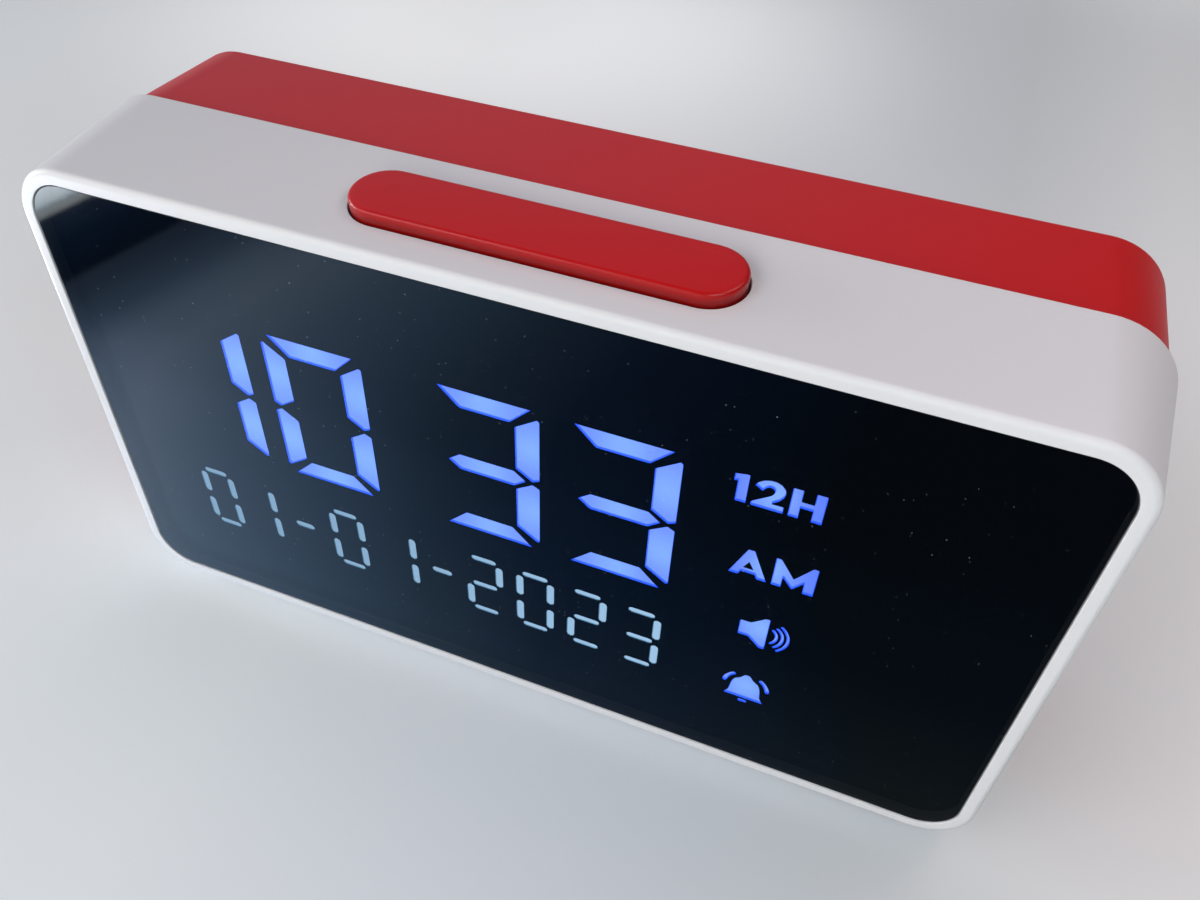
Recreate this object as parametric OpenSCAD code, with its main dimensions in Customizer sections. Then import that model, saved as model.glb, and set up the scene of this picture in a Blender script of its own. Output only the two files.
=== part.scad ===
// Talking alarm clock: a rounded front casing with a dark display window, a slightly smaller rear
// housing, a long talk bar in the top and the controls, battery bay and loudspeaker at the back.
// The front faces -Y, +Z is up, and the origin is on the floor under the middle of the clock.

/* [Front casing] */
// Width of the display window
window_w = 150; // [146:1:156]
// Height of the display window
window_h = 80; // [80:1:84]
// Corner radius of the display window
window_r = 6.3; // [5:0.1:8]
// Width of the white rim around the window
rim = 2.4; // [2.2:0.1:4]
// Depth of the front casing, from its front to the seam
casing_d = 22.3; // [22:0.1:25]
// How far each side has spread outwards at the seam
flare = 2.1; // [1:0.1:2.4]
// Rounding of the casing's front edge
front_round = 1; // [0.6:0.1:1.6]
// Thickness of both housings' walls
wall = 2.4; // [2:0.1:2.6]

/* [Rear housing] */
// Depth of the whole clock
clock_d = 44; // [43.5:0.5:48]
// How far the rear housing stands in from the seam
rear_step = 0.8; // [0.5:0.1:1.2]
// Rounding of the rear edge
rear_round = 1.5; // [0.8:0.1:2]

/* [Talk bar] */
// Length of the talk bar
bar_l = 54.5; // [50:0.5:58]
// Width of the talk bar
bar_w = 10.4; // [9.5:0.1:11]
// Height of the talk bar above the casing
bar_h = 2; // [1.5:0.1:2.5]
// Distance of its centre line from the front
bar_back = 10.6; // [10:0.1:11.5]
// Travel of the talk bar
bar_travel = 1; // [0.6:0.1:1]
// Gap around the talk bar
bar_gap = 0.25; // [0.2:0.05:0.35]

/* [Display] */
// Height of a time digit
digit_h = 28.2; // [24:0.1:29]
// Width of a time digit
digit_w = 17; // [15:0.1:17.4]
// Width of a time digit's upright bars
digit_bar = 3.8; // [3:0.1:4]
// Distance from one time digit to the next
digit_pitch = 20.8; // [19:0.1:21]
// Extra distance for the colon
colon_gap = 7.2; // [6:0.1:7.5]
// Height of a date digit between its outer bars
date_h = 12.9; // [11:0.1:13]
// Distance between a date digit's upright bars
date_w = 5.4; // [4.5:0.1:5.6]

/* [Controls] */
// Diameter of the rear buttons
button_d = 8; // [7:0.1:8.4]
// Travel of the rear buttons
button_travel = 0.8; // [0.5:0.1:0.8]
// Distance from one rear button to the next
button_pitch = 14; // [13:0.5:14]
// Travel of the voice switch
slider_travel = 4; // [2:0.5:4]

/* [Loudspeaker] */
// Diameter of the loudspeaker
speaker_d = 40; // [36:1:40]
// Diameter of one grille hole
grille_hole = 1.8; // [1.2:0.1:2]

/* [Hidden] */

eps = 0.01;
foot_drop = 0.5;

// Outlines, all centred on the window's middle
front_w = window_w + 2 * rim;
front_h = window_h + 2 * rim;
front_r = window_r + rim;
seam_w = front_w + 2 * flare;
seam_h = front_h + 2 * flare;
rear_w = seam_w - 2 * rear_step;
rear_h = seam_h - 2 * rear_step;
rear_r = front_r + flare - rear_step;
flare_angle = atan(flare / casing_d);

// Planes from front to back
front_y = -clock_d / 2;
seam_y = front_y + casing_d;
back_y = clock_d / 2;
mid_z = seam_h / 2 + foot_drop;

// Window parts behind each other
lens_set = 0.2;
lens_t = 2;
tape_t = 0.3;
ledge_t = 1.7;
lens_y = front_y + lens_set;
tape_y = lens_y + lens_t;
ledge_y = tape_y + tape_t;
hollow_y = ledge_y + ledge_t;
opening_w = 133.6;
opening_h = 64;
reflector_w = 132.6;
reflector_h = 63;
reflector_y = tape_y + 0.2;
board_y = hollow_y + 5.5;
reflector_t = board_y - reflector_y;
board_t = 1.6;
board_w = 143.4;
board_h = 64;
diffuser_t = 2;

// Place of the display's marks behind the window, from its middle
time_right = 24;
time_bottom = -6.5;
cross_bar = 3.3;
mitre_gap = 0.55;
date_bottom = -26.5;
date_bar = 1.4;
date_bar_l = 5;
date_flat_l = 4.5;
date_flat_t = 1.15;
date_x = [-58.6, -50.3, -41.6, -32.7, -22.8, -14.8, -6.8, 2.3, 11.4, 20.5];
date_text = [0, 1, -1, 0, 1, -1, 2, 0, 2, 3];
time_text = [1, 0, 3, 3];

// Bars that are lit for each figure: top, upper right, lower right, bottom, lower left,
// upper left, middle
figures = [
    [1, 1, 1, 1, 1, 1, 0], [0, 1, 1, 0, 0, 0, 0], [1, 1, 0, 1, 1, 0, 1], [1, 1, 1, 1, 0, 0, 1]
];

// Screw places, from the window's middle
case_screw_x = 68;
case_screw_z = 36.5;
display_screw_x = 69.3;
display_screw_z = 15;
post_meet_y = front_y + 20;

// Feet
foot_d = 8;
foot_x = 62;
foot_y = 14;

// Talk bar, in its own tilted frame with the casing's outer face at height 0
bar_flange = 1.2;
bar_flange_over = 1.4;
bar_rest_gap = 0.2;
bar_under = -wall - bar_rest_gap - bar_flange;
switch_h = 3.1;
plunger_h = bar_travel + 0.7;
bar_board_top = bar_under - plunger_h - switch_h;
bar_board_t = 1.2;
bar_board_l = 72;
bar_board_w = 9.4;
bar_post_x = 32.5;
bar_spring_x = 18;

// Main board and what it carries
main_y = 10.4;
main_t = 1.6;
main_back = main_y + main_t;
main_x = [-61, 45];
main_z = [14, 36];
main_screw_x = [-58, 42];
main_screw_z = [17, 33];
inner_back = back_y - wall;
strip_t = 1.4;
strip_y = inner_back + strip_t;
control_z = 25;
button_first_x = -36;
inlet_x = -50;
slider_x = 34;
tact_h = 3.5;
tact_stem = button_travel + 0.6;
cap_flange = 1.2;

// Loudspeaker
speaker_x = 46;
speaker_z = -11;
gasket_t = 0.8;
speaker_face = inner_back - gasket_t;
speaker_screw_r = speaker_d / 2 + 2.3;

// Battery bay: three cells lie one above the other
bay_x = -22;
bay_z = -13;
bay_w = 50;
bay_h = 35;
bay_wall = 1.6;
bay_floor = 9.2;
cell_d = 10.5;
cell_l = 43.5;
nub_l = 1;
nub_d = 3.8;
cell_pitch = 11.4;
cell_y = bay_floor + 0.1 + cell_d / 2;
plate_t = 0.4;
door_t = 1.8;
door_w = 57;
door_h = 41;
door_gap = 0.3;
lug_w = 8;
lug_x = 15;

plastic_white = [0.93, 0.93, 0.94];
plastic_red = [0.75, 0.1, 0.13];
board_green = [0.1, 0.36, 0.2];
steel = [0.75, 0.76, 0.78];
light_blue = [0.5, 0.64, 1];
light_pale = [0.68, 0.78, 0.84];
dark = [0.08, 0.08, 0.09];

// Moves the window's middle to its place
module at_window() { translate([0, 0, mid_z]) children(); }

// A flat rounded rectangle made of two squares and four circles
module rounded(w, h, r) {
    square([w, h - 2 * r], center = true);
    square([w - 2 * r, h], center = true);
    for (x = [-1, 1], z = [-1, 1])
        translate([x * (w / 2 - r), z * (h / 2 - r)]) circle(r);
}

// A slot with round ends along X
module slot(l, w) {
    square([l - w, w], center = true);
    for (x = [-1, 1]) translate([x * (l - w) / 2, 0]) circle(d = w);
}

// Stands a flat outline up, facing -Y, from y to y + t
module upright(y, t) { translate([0, y + t, 0]) rotate([90, 0, 0]) linear_extrude(t) children(); }

// A rod along +Y from y to y + l
module rod(x, y, z, d, l) { translate([x, y, z]) rotate([-90, 0, 0]) cylinder(h = l, d = d); }

// A rounded box whose sides spread by grow over its depth. The corner centres stay where they are,
// so its sides are flat and its corners are cones.
module spreading_box(w, h, r, grow, depth) {
    side_x = w / 2 - r;
    side_z = h / 2 - r;
    translate([0, 0, -side_z]) linear_extrude(2 * side_z)
        polygon([[-w / 2, 0], [w / 2, 0], [w / 2 + grow, depth], [-w / 2 - grow, depth]]);
    translate([-side_x, 0, 0]) rotate([90, 0, 90]) linear_extrude(2 * side_x)
        polygon([[0, -h / 2], [depth, -h / 2 - grow], [depth, h / 2 + grow], [0, h / 2]]);
    for (x = [-1, 1], z = [-1, 1])
        translate([x * side_x, 0, z * side_z]) rotate([-90, 0, 0])
            cylinder(h = depth, r1 = r, r2 = r + grow);
}

// How far the casing's side has spread at a depth behind the front
function spread(depth) = flare * depth / casing_d;

// Three bands that round an edge, from the inset outline to the full one
module rounding_bands(w, h, r, round) {
    for (step = [0:2]) {
        a0 = 30 * step;
        a1 = a0 + 30;
        inset = round * (1 - sin(a0));
        translate([0, round * (1 - cos(a0)), 0])
            spreading_box(w - 2 * inset, h - 2 * inset, r - inset,
                round * (sin(a1) - sin(a0)), round * (cos(a0) - cos(a1)));
    }
}

// The tilted frame on the casing's top, with its origin on the outer face over the bar's middle
module on_top() {
    translate([0, front_y + bar_back, mid_z + front_h / 2 + spread(bar_back)])
        rotate([flare_angle, 0, 0]) children();
}

// Screw with a cross recess. It points along -Z from the underside of its head at the origin.
module screw(d, l, head_d, head_h) {
    difference() {
        union() {
            cylinder(h = head_h, d = head_d);
            translate([0, 0, -l]) cylinder(h = l + eps, d = d);
        }
        for (turn = [0, 90]) rotate([0, 0, turn]) translate([0, 0, head_h])
            cube([head_d * 0.6, head_d * 0.14, head_h], center = true);
    }
}

// Points and faces of a tube swept along a route
function unit(v) = v / norm(v);
function heading(path, i) =
    unit(path[min(i + 1, len(path) - 1)] - path[max(i - 1, 0)]);
function side_of(t) = unit(cross(t, abs(t[2]) > 0.9 ? [1, 0, 0] : [0, 0, 1]));
function ring(centre, t, r, sides) =
    let(u = side_of(t), v = cross(t, u))
    [for (k = [0:sides - 1]) centre + r * (cos(360 * k / sides) * u + sin(360 * k / sides) * v)];
module tube(path, r, sides = 8) {
    n = len(path);
    points = [for (i = [0:n - 1]) each ring(path[i], heading(path, i), r, sides)];
    walls = [for (i = [0:n - 2], k = [0:sides - 1], half = [0, 1])
        let(a = i * sides + k, b = i * sides + (k + 1) % sides)
        half == 0 ? [a, b, a + sides] : [b, b + sides, a + sides]];
    polyhedron(points, concat([[for (k = [0:sides - 1]) sides - 1 - k]], walls,
        [[for (k = [0:sides - 1]) (n - 1) * sides + k]]));
}

// A smooth route through four hand-set points
function bend(a, b, c, d, n = 10) = [for (i = [0:n]) let(t = i / n, s = 1 - t)
    s * s * s * a + 3 * s * s * t * b + 3 * s * t * t * c + t * t * t * d];

// One upright bar of a time digit, its lower end at the origin's height. Its long side is outside,
// so the mitres of the corner bars fit beside it.
module digit_upright(l) {
    tip = cross_bar / 2;
    polygon([[0, tip * 0.35], [digit_bar * 0.3, 0], [digit_bar, tip * 1.1], [digit_bar, l - 2.4],
        [digit_bar * 0.1, l], [0, l - 0.3]]);
}

// One bar of a time digit: 0 top, 1 and 2 right, 3 bottom, 4 and 5 left, 6 middle
module digit_segment(which) {
    half = digit_h / 2;
    upright_l = half - 1.5 - mitre_gap / 2;
    if (which == 0) translate([0, digit_h]) mirror([0, 1]) digit_foot();
    if (which == 3) digit_foot();
    if (which == 6) translate([digit_w / 2, half]) digit_middle();
    if (which == 5) translate([0, half + mitre_gap / 2]) digit_upright(upright_l);
    if (which == 4) translate([0, half - mitre_gap / 2]) mirror([0, 1]) digit_upright(upright_l);
    if (which == 1) translate([digit_w, half + mitre_gap / 2]) mirror([1, 0]) digit_upright(upright_l);
    if (which == 2)
        translate([digit_w, half - mitre_gap / 2]) mirror([1, 0]) mirror([0, 1]) digit_upright(upright_l);
}
module digit_foot() {
    start = 1.3;
    polygon([[start, 0], [digit_w - start, 0], [digit_w - start - cross_bar, cross_bar],
        [start + cross_bar, cross_bar]]);
}
module digit_middle() {
    half_l = digit_w / 2 - 2.2;
    flat = cross_bar * 0.46;
    polygon([[-half_l, 0], [-half_l + 1.9, -flat], [half_l - 1.9, -flat], [half_l, 0],
        [half_l - 1.9, flat], [-half_l + 1.9, flat]]);
}

// A thin bar with rounded ends, along X
module rounded_bar(l, t) {
    polygon([for (end = [-1, 1], a = [-90:45:90])
        [end * (l / 2 - t / 2) + end * t / 2 * cos(a), end * t / 2 * sin(a)]]);
}

// One bar of a date digit about the digit's middle, numbered as for the time
module date_segment(which) {
    upright_x = date_w / 2;
    upright_z = date_h / 4;
    if (which == 0) translate([0, date_h / 2]) rounded_bar(date_flat_l, date_flat_t);
    if (which == 3) translate([0, -date_h / 2]) rounded_bar(date_flat_l, date_flat_t);
    if (which == 6) rounded_bar(date_flat_l, date_flat_t);
    if (which == 1) translate([upright_x, upright_z]) rotate(90) rounded_bar(date_bar_l, date_bar);
    if (which == 2) translate([upright_x, -upright_z]) rotate(90) rounded_bar(date_bar_l, date_bar);
    if (which == 4) translate([-upright_x, -upright_z]) rotate(90) rounded_bar(date_bar_l, date_bar);
    if (which == 5) translate([-upright_x, upright_z]) rotate(90) rounded_bar(date_bar_l, date_bar);
}

// Left edge of a time digit, counted from the left
function digit_left(i) = time_right - digit_w - (3 - i) * digit_pitch - (i < 2 ? colon_gap : 0);

// The time's bars that are lit or dark
module time_marks(lit) {
    for (i = [0:3], which = [0:6])
        if (figures[time_text[i]][which] == lit)
            translate([digit_left(i), time_bottom]) digit_segment(which);
    if (lit == 0)
        for (z = [0.32, 0.68])
            translate([digit_left(2) - digit_pitch / 2 + digit_w / 2 - 1.7, time_bottom + digit_h * z])
                circle(d = 3.2);
}

// The date's bars that are lit or dark
module date_marks(lit) {
    for (i = [0:len(date_x) - 1]) translate([date_x[i], date_bottom + date_h / 2]) {
        if (date_text[i] < 0) {
            if (lit == 1) rounded_bar(3.8, 1.3);
        } else
            for (which = [0:6]) if (figures[date_text[i]][which] == lit) date_segment(which);
    }
}

// Status marks: hour mode, half of the day, voice and alarm
module mark_hours() {
    translate([31, 16.5]) {
        polygon([[0, 3.2], [1.3, 4.9], [2.6, 4.9], [2.6, 0], [1.1, 0], [1.1, 3.2]]);
        polygon([[3.5, 0], [7.4, 0], [7.4, 1.2], [5.5, 1.2], [7.3, 3], [7.3, 4.1], [6.5, 4.9],
            [4.4, 4.9], [3.5, 4.1], [3.5, 3.2], [5, 3.2], [5, 3.7], [5.9, 3.7], [5.9, 3.3], [3.5, 1.1]]);
        polygon([[8.4, 0], [9.7, 0], [9.7, 1.9], [11, 1.9], [11, 0], [12.3, 0], [12.3, 4.9],
            [11, 4.9], [11, 3.1], [9.7, 3.1], [9.7, 4.9], [8.4, 4.9]]);
    }
}
module mark_half_day() {
    translate([32.4, 2.2]) {
        polygon([[0, 0], [2.1, 5.3], [3.5, 5.3], [5.6, 0], [4.2, 0], [3.8, 1.1], [1.8, 1.1], [1.4, 0]]);
        polygon([[6.1, 0], [6.8, 5.3], [7.9, 5.3], [9.15, 2.9], [10.4, 5.3], [11.5, 5.3], [12.2, 0],
            [10.8, 0], [10.5, 2.7], [9.5, 0.9], [8.8, 0.9], [7.8, 2.7], [7.5, 0]]);
    }
}
module mark_voice() {
    translate([35.5, -9.2]) {
        polygon([[0, -1.6], [1.6, -1.6], [4.1, -3.6], [4.1, 3.6], [1.6, 1.6], [0, 1.6]]);
        for (r = [1.5, 2.6, 3.7]) intersection() {
            translate([4.1, 0]) difference() {
                circle(r + 0.3);
                circle(r - 0.3);
            }
            translate([4.1, 0]) polygon([[1.2, -0.5], [1.2, 0.5], [4.2, 3.1], [4.2, -3.1]]);
        }
    }
}
module mark_alarm() {
    translate([38.6, -24.1]) {
        polygon([[-3, -2.4], [3, -2.4], [2.2, -1.2], [2.2, 1], [1.3, 2.6], [0.5, 3], [-0.5, 3],
            [-1.3, 2.6], [-2.2, 1], [-2.2, -1.2]]);
        translate([0, -2.9]) circle(0.6);
        for (side = [-1, 1]) mirror([side > 0 ? 0 : 1, 0])
            polygon([[3, 0.6], [3.5, 0.6], [2.9, 2.3], [2, 3.3], [1.6, 2.9], [2.4, 2]]);
    }
}
module status_marks() {
    mark_hours();
    mark_half_day();
    mark_voice();
    mark_alarm();
}

// Light wells behind the status marks
module status_wells() {
    for (well = [[37.15, 18.95, 13.5, 6.2], [38.5, 4.85, 13.5, 6.6], [39.4, -9.2, 9, 8.2],
        [38.6, -24.2, 8.6, 7.8]])
        translate([well[0], well[1]]) square([well[2], well[3]], center = true);
}

module front_casing() {
    full_w = front_w + 2 * spread(front_round);
    full_h = front_h + 2 * spread(front_round);
    hollow_depth = hollow_y - front_y;
    color(plastic_white) at_window() difference() {
        union() {
            difference() {
                union() {
                    translate([0, front_y, 0])
                        rounding_bands(full_w, full_h, front_r + spread(front_round), front_round);
                    translate([0, front_y + front_round, 0])
                        spreading_box(full_w, full_h, front_r + spread(front_round),
                            flare - spread(front_round), casing_d - front_round);
                }
                // The hollow behind the window
                translate([0, hollow_y, 0])
                    spreading_box(front_w + 2 * spread(hollow_depth) - 2 * wall,
                        front_h + 2 * spread(hollow_depth) - 2 * wall,
                        front_r + spread(hollow_depth) - wall,
                        flare - spread(hollow_depth) + spread(1), casing_d - hollow_depth + 1);
                // Seat of the window, and the opening that the display shows through
                upright(front_y - 1, ledge_y - front_y + 1)
                    rounded(window_w + 0.4, window_h + 0.4, window_r + 0.2);
                upright(front_y - 1, hollow_y - front_y + 2) rounded(opening_w, opening_h, 3);
            }
            // Posts for the case screws and bosses for the display board
            for (x = [-1, 1], z = [-1, 1]) {
                rod(x * case_screw_x, hollow_y - 0.5, z * case_screw_z, 6.5, post_meet_y - hollow_y + 0.5);
                rod(x * display_screw_x, hollow_y - 0.5, z * display_screw_z, 4.4, board_y - hollow_y + 0.5);
            }
        }
        for (x = [-1, 1], z = [-1, 1]) {
            rod(x * case_screw_x, post_meet_y - 10.5, z * case_screw_z, 3, 11);
            rod(x * display_screw_x, board_y - 4.6, z * display_screw_z, 2, 5);
        }
        // Pockets for the two front feet
        for (x = [-1, 1])
            translate([x * foot_x, -foot_y, -mid_z - 1]) cylinder(h = 1 + foot_drop + 2, d = foot_d + 0.4);
        // Slot for the talk bar
        translate([0, 0, -mid_z]) on_top() translate([0, 0, -wall - 1]) linear_extrude(wall + 3)
            slot(bar_l + 2 * bar_gap, bar_w + 2 * bar_gap);
    }
    // Posts that carry the talk bar's switch board
    color(plastic_white) on_top() for (x = [-1, 1])
        translate([x * bar_post_x, 0, bar_board_top]) difference() {
            cylinder(h = -wall - bar_board_top + 0.3, d = 5);
            translate([0, 0, -1]) cylinder(h = 5, d = 1.8);
        }
}

module display_lens() {
    color([0.02, 0.02, 0.03]) at_window() upright(lens_y, lens_t) rounded(window_w, window_h, window_r);
}

module lens_tape() {
    color(dark) at_window() upright(tape_y, tape_t) difference() {
        rounded(window_w - 1, window_h - 1, window_r - 0.5);
        rounded(opening_w + 1, opening_h + 1, 3.5);
    }
}

module display_reflector() {
    color(dark) at_window() upright(reflector_y, reflector_t) difference() {
        rounded(reflector_w, reflector_h, 2.6);
        time_marks(0);
        time_marks(1);
        date_marks(0);
        date_marks(1);
        status_wells();
    }
}

module time_segments_lit() { color(light_blue) at_window() upright(reflector_y, diffuser_t) time_marks(1); }
module time_segments_dark() { color(dark) at_window() upright(reflector_y, diffuser_t) time_marks(0); }
module date_segments_lit() { color(light_pale) at_window() upright(reflector_y, diffuser_t) date_marks(1); }
module date_segments_dark() { color(dark) at_window() upright(reflector_y, diffuser_t) date_marks(0); }
module status_symbols() { color(light_blue) at_window() upright(reflector_y, diffuser_t) status_marks(); }

module display_board() {
    color(board_green) at_window() difference() {
        upright(board_y, board_t) square([board_w, board_h], center = true);
        for (x = [-1, 1], z = [-1, 1])
            rod(x * display_screw_x, board_y - 1, z * display_screw_z, 2.6, board_t + 2);
    }
}

// One small light behind each lit bar
module display_leds() {
    led = [1.6, 0.8, 0.8];
    color([0.95, 0.95, 0.8]) at_window() for (i = [0:3], column = [0.5, digit_w - digit_bar / 2 - 0.8])
        for (row = [0.27, 0.73])
            translate([digit_left(i) + column + 0.4, board_y - led[1], time_bottom + digit_h * row])
                cube(led);
    color([0.95, 0.95, 0.8]) at_window() for (well = [18.95, 4.85, -9.2, -24.2])
        translate([38, board_y - led[1], well]) cube(led);
}

module display_screws() {
    color(steel) at_window() for (x = [-1, 1], z = [-1, 1])
        translate([x * display_screw_x, board_y + board_t, z * display_screw_z])
            rotate([-90, 0, 0]) screw(2, 5.5, 4, 1.4);
}

// The bay's walls inside the rear housing
module battery_bay() {
    translate([bay_x, 0, bay_z])
        upright(bay_floor - bay_wall, inner_back - bay_floor + bay_wall + 0.5)
            square([bay_w + 2 * bay_wall, bay_h + 2 * bay_wall], center = true);
}

module rear_housing() {
    tongue_w = front_w + 2 * spread(casing_d - 4) - 2 * wall - 0.3;
    tongue_h = front_h + 2 * spread(casing_d - 4) - 2 * wall - 0.3;
    tongue_r = front_r + spread(casing_d - 4) - wall - 0.15;
    color(plastic_red) at_window() difference() {
        union() {
            difference() {
                union() {
                    upright(seam_y, back_y - rear_round - seam_y) rounded(rear_w, rear_h, rear_r);
                    translate([0, back_y, 0]) mirror([0, 1, 0])
                        rounding_bands(rear_w, rear_h, rear_r, rear_round);
                }
                upright(seam_y - 1, inner_back - seam_y + 1)
                    rounded(rear_w - 2 * wall, rear_h - 2 * wall, rear_r - wall);
            }
            // Tongue that enters the front casing
            upright(seam_y - 4, 7) difference() {
                rounded(tongue_w, tongue_h, tongue_r);
                rounded(tongue_w - 3, tongue_h - 3, tongue_r - 1.5);
            }
            for (x = [-1, 1], z = [-1, 1])
                rod(x * case_screw_x, post_meet_y, z * case_screw_z, 8.4, inner_back - post_meet_y + 0.5);
            for (x = main_screw_x, z = main_screw_z)
                rod(x, main_back, z, 5, inner_back - main_back + 0.5);
            for (turn = [90:120:330])
                rod(speaker_x + speaker_screw_r * cos(turn), speaker_face - 1.2,
                    speaker_z + speaker_screw_r * sin(turn), 4.4, 2.5);
            battery_bay();
        }
        // Inside of the battery bay and the seat of its door
        translate([bay_x, 0, bay_z]) {
            upright(bay_floor, back_y) square([bay_w, bay_h], center = true);
            upright(back_y - door_t, 5)
                square([door_w + 2 * door_gap, door_h + 2 * door_gap], center = true);
            for (x = [-1, 1]) translate([x * lug_x - lug_w / 2 - 0.4, inner_back - 3, bay_h / 2 - 1])
                cube([lug_w + 0.8, wall - door_t + 3, 6.6]);
        }
        // Case screws sink into the posts from behind
        for (x = [-1, 1], z = [-1, 1]) {
            rod(x * case_screw_x, post_meet_y + 3, z * case_screw_z, 6, clock_d);
            rod(x * case_screw_x, post_meet_y - 1, z * case_screw_z, 3.4, 5);
        }
        for (x = main_screw_x, z = main_screw_z) rod(x, main_back - 1, z, 2, 6);
        for (turn = [90:120:330])
            rod(speaker_x + speaker_screw_r * cos(turn), speaker_face - 2,
                speaker_z + speaker_screw_r * sin(turn), 1.8, 4.2);
        // Sunken strip around the controls, and its holes
        translate([0, 0, control_z]) {
            translate([-1, 0, 0]) upright(strip_y, 5) slot(86, 12);
            for (i = [0:4]) rod(button_first_x + i * button_pitch, inner_back - 1, 0, button_d + 0.5, 4);
            translate([slider_x, 0, 0]) upright(inner_back - 1, 4)
                square([slider_travel + 3, 2.6], center = true);
            translate([inlet_x, 0, 0]) upright(inner_back - 1, 5) slot(9.6, 3.9);
        }
        // Grille
        translate([speaker_x, 0, speaker_z]) for (i = [-3:3], j = [-3:3])
            if (abs(i + j) < 4)
                rod(3.8 * (i + j / 2), inner_back - 1, 3.8 * j * sin(60), grille_hole, 5);
        // Pockets for the two rear feet
        for (x = [-1, 1])
            translate([x * foot_x, foot_y, -mid_z - 1]) cylinder(h = 1 + foot_drop + 1.4, d = foot_d + 0.4);
    }
}

module case_screws() {
    color(steel) at_window() for (x = [-1, 1], z = [-1, 1])
        translate([x * case_screw_x, post_meet_y + 3, z * case_screw_z])
            rotate([-90, 0, 0]) screw(3, 12, 5.6, 2.2);
}

module rubber_feet() {
    color(dark) for (x = [-1, 1]) {
        translate([x * foot_x, -foot_y, 0]) cylinder(h = foot_drop + 2, d = foot_d);
        translate([x * foot_x, foot_y, 0]) cylinder(h = foot_drop + 1.4, d = foot_d);
    }
}

module talk_bar() {
    pocket_h = bar_h - bar_under - 1.6;
    color(plastic_red) on_top() difference() {
        union() {
            translate([0, 0, bar_under]) linear_extrude(bar_h - bar_under - 0.4) slot(bar_l, bar_w);
            translate([0, 0, bar_h - 0.4 - eps]) linear_extrude(0.4 + eps) slot(bar_l - 0.8, bar_w - 0.8);
            translate([0, 0, bar_under]) linear_extrude(bar_flange)
                slot(bar_l + 2 * bar_flange_over, bar_w + 2 * bar_flange_over);
        }
        // Hollows that keep the moulding even
        for (x = [-1, 1], part = [[8.5, 8], [25, 3]])
            translate([x * part[0] - part[1] / 2, -bar_w / 2 + 1.6, bar_under - 1])
                cube([part[1], bar_w - 3.2, pocket_h + 1]);
    }
}

// Coil spring between two heights
module coil(r, low, high, turns, wire) {
    steps = 12;
    tube([for (i = [0:turns * steps]) let(a = 360 * i / steps)
        [r * cos(a), r * sin(a), low + wire + (high - low - 2 * wire) * i / (turns * steps)]], wire, 6);
}
module talk_bar_springs() {
    color(steel) on_top() for (x = [-1, 1]) translate([x * bar_spring_x, 0, 0])
        coil(2.2, bar_board_top, bar_under, 4, 0.22);
}

module bar_switch_board() {
    color(board_green) on_top() difference() {
        translate([-bar_board_l / 2, -bar_board_w / 2, bar_board_top - bar_board_t])
            cube([bar_board_l, bar_board_w, bar_board_t]);
        for (x = [-1, 1]) translate([x * bar_post_x, 0, bar_board_top - 3]) cylinder(h = 5, d = 2.2);
    }
}

module bar_switch() {
    color(dark) on_top() difference() {
        translate([-3, -3, bar_board_top]) cube([6, 6, switch_h]);
        translate([0, 0, bar_board_top + switch_h - bar_travel - 0.3]) cylinder(h = 3, d = 3.2);
    }
}

module bar_switch_plunger() {
    color([0.8, 0.8, 0.76]) on_top() translate([0, 0, bar_under - plunger_h - 0.1])
        cylinder(h = plunger_h + 0.1, d = 3);
}

module bar_board_screws() {
    color(steel) on_top() for (x = [-1, 1])
        translate([x * bar_post_x, 0, bar_board_top - bar_board_t]) rotate([180, 0, 0])
            screw(1.8, 4.6, 3.4, 0.9);
}

// Pair of wires that follow one route side by side
module wire_pair(a, b, c, d, gap) {
    for (side = [-1, 1]) {
        shift = [side * gap / 2, 0, 0];
        tube(bend(a + shift, b + shift, c + shift, d + shift), 0.6);
    }
}
module bar_leads() {
    color([0.85, 0.85, 0.2]) at_window()
        wire_pair([12, -5.75, 34.3], [12, -1, 34], [12, 1, 29], [12, 9.7, 29], 1.8);
}

module main_board() {
    color(board_green) at_window() difference() {
        translate([main_x[0], main_y, main_z[0]])
            cube([main_x[1] - main_x[0], main_t, main_z[1] - main_z[0]]);
        for (x = main_screw_x, z = main_screw_z) rod(x, main_y - 1, z, 2.6, main_t + 2);
    }
}

module controller_chip() {
    color(dark) at_window() translate([-6, main_y - 1.6, 18]) cube([12, 1.6, 12]);
}
module voice_chip() {
    color(dark) at_window() translate([18, main_y - 1.5, 19]) cube([10, 1.5, 6]);
}
module crystal() {
    color(steel) at_window() translate([-40, main_y - 3, 24]) cube([8, 3, 3]);
}
module capacitors() {
    color([0.15, 0.18, 0.3]) at_window() for (x = [-52, -46])
        translate([x, main_y, 30]) rotate([90, 0, 0]) cylinder(h = 6, d = 5);
}

module board_screws() {
    color(steel) at_window() for (x = main_screw_x, z = main_screw_z)
        translate([x, main_y, z]) rotate([90, 0, 0]) screw(2, 6.4, 4, 1.4);
}

module power_inlet() {
    color(steel) at_window() translate([inlet_x, 0, control_z]) {
        difference() {
            upright(main_back, back_y - 0.4 - main_back) slot(9, 3.3);
            upright(main_back + 1, back_y) slot(8.4, 2.7);
        }
        upright(main_back + 1 - eps, 6.5) square([6.4, 0.7], center = true);
    }
}

module rear_switches() {
    color(dark) at_window() for (i = [0:4])
        translate([button_first_x + i * button_pitch, 0, control_z]) difference() {
            upright(main_back, tact_h) square([6, 6], center = true);
            rod(0, main_back + tact_h - button_travel - 0.3, 0, 3.6, 3);
        }
}

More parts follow.
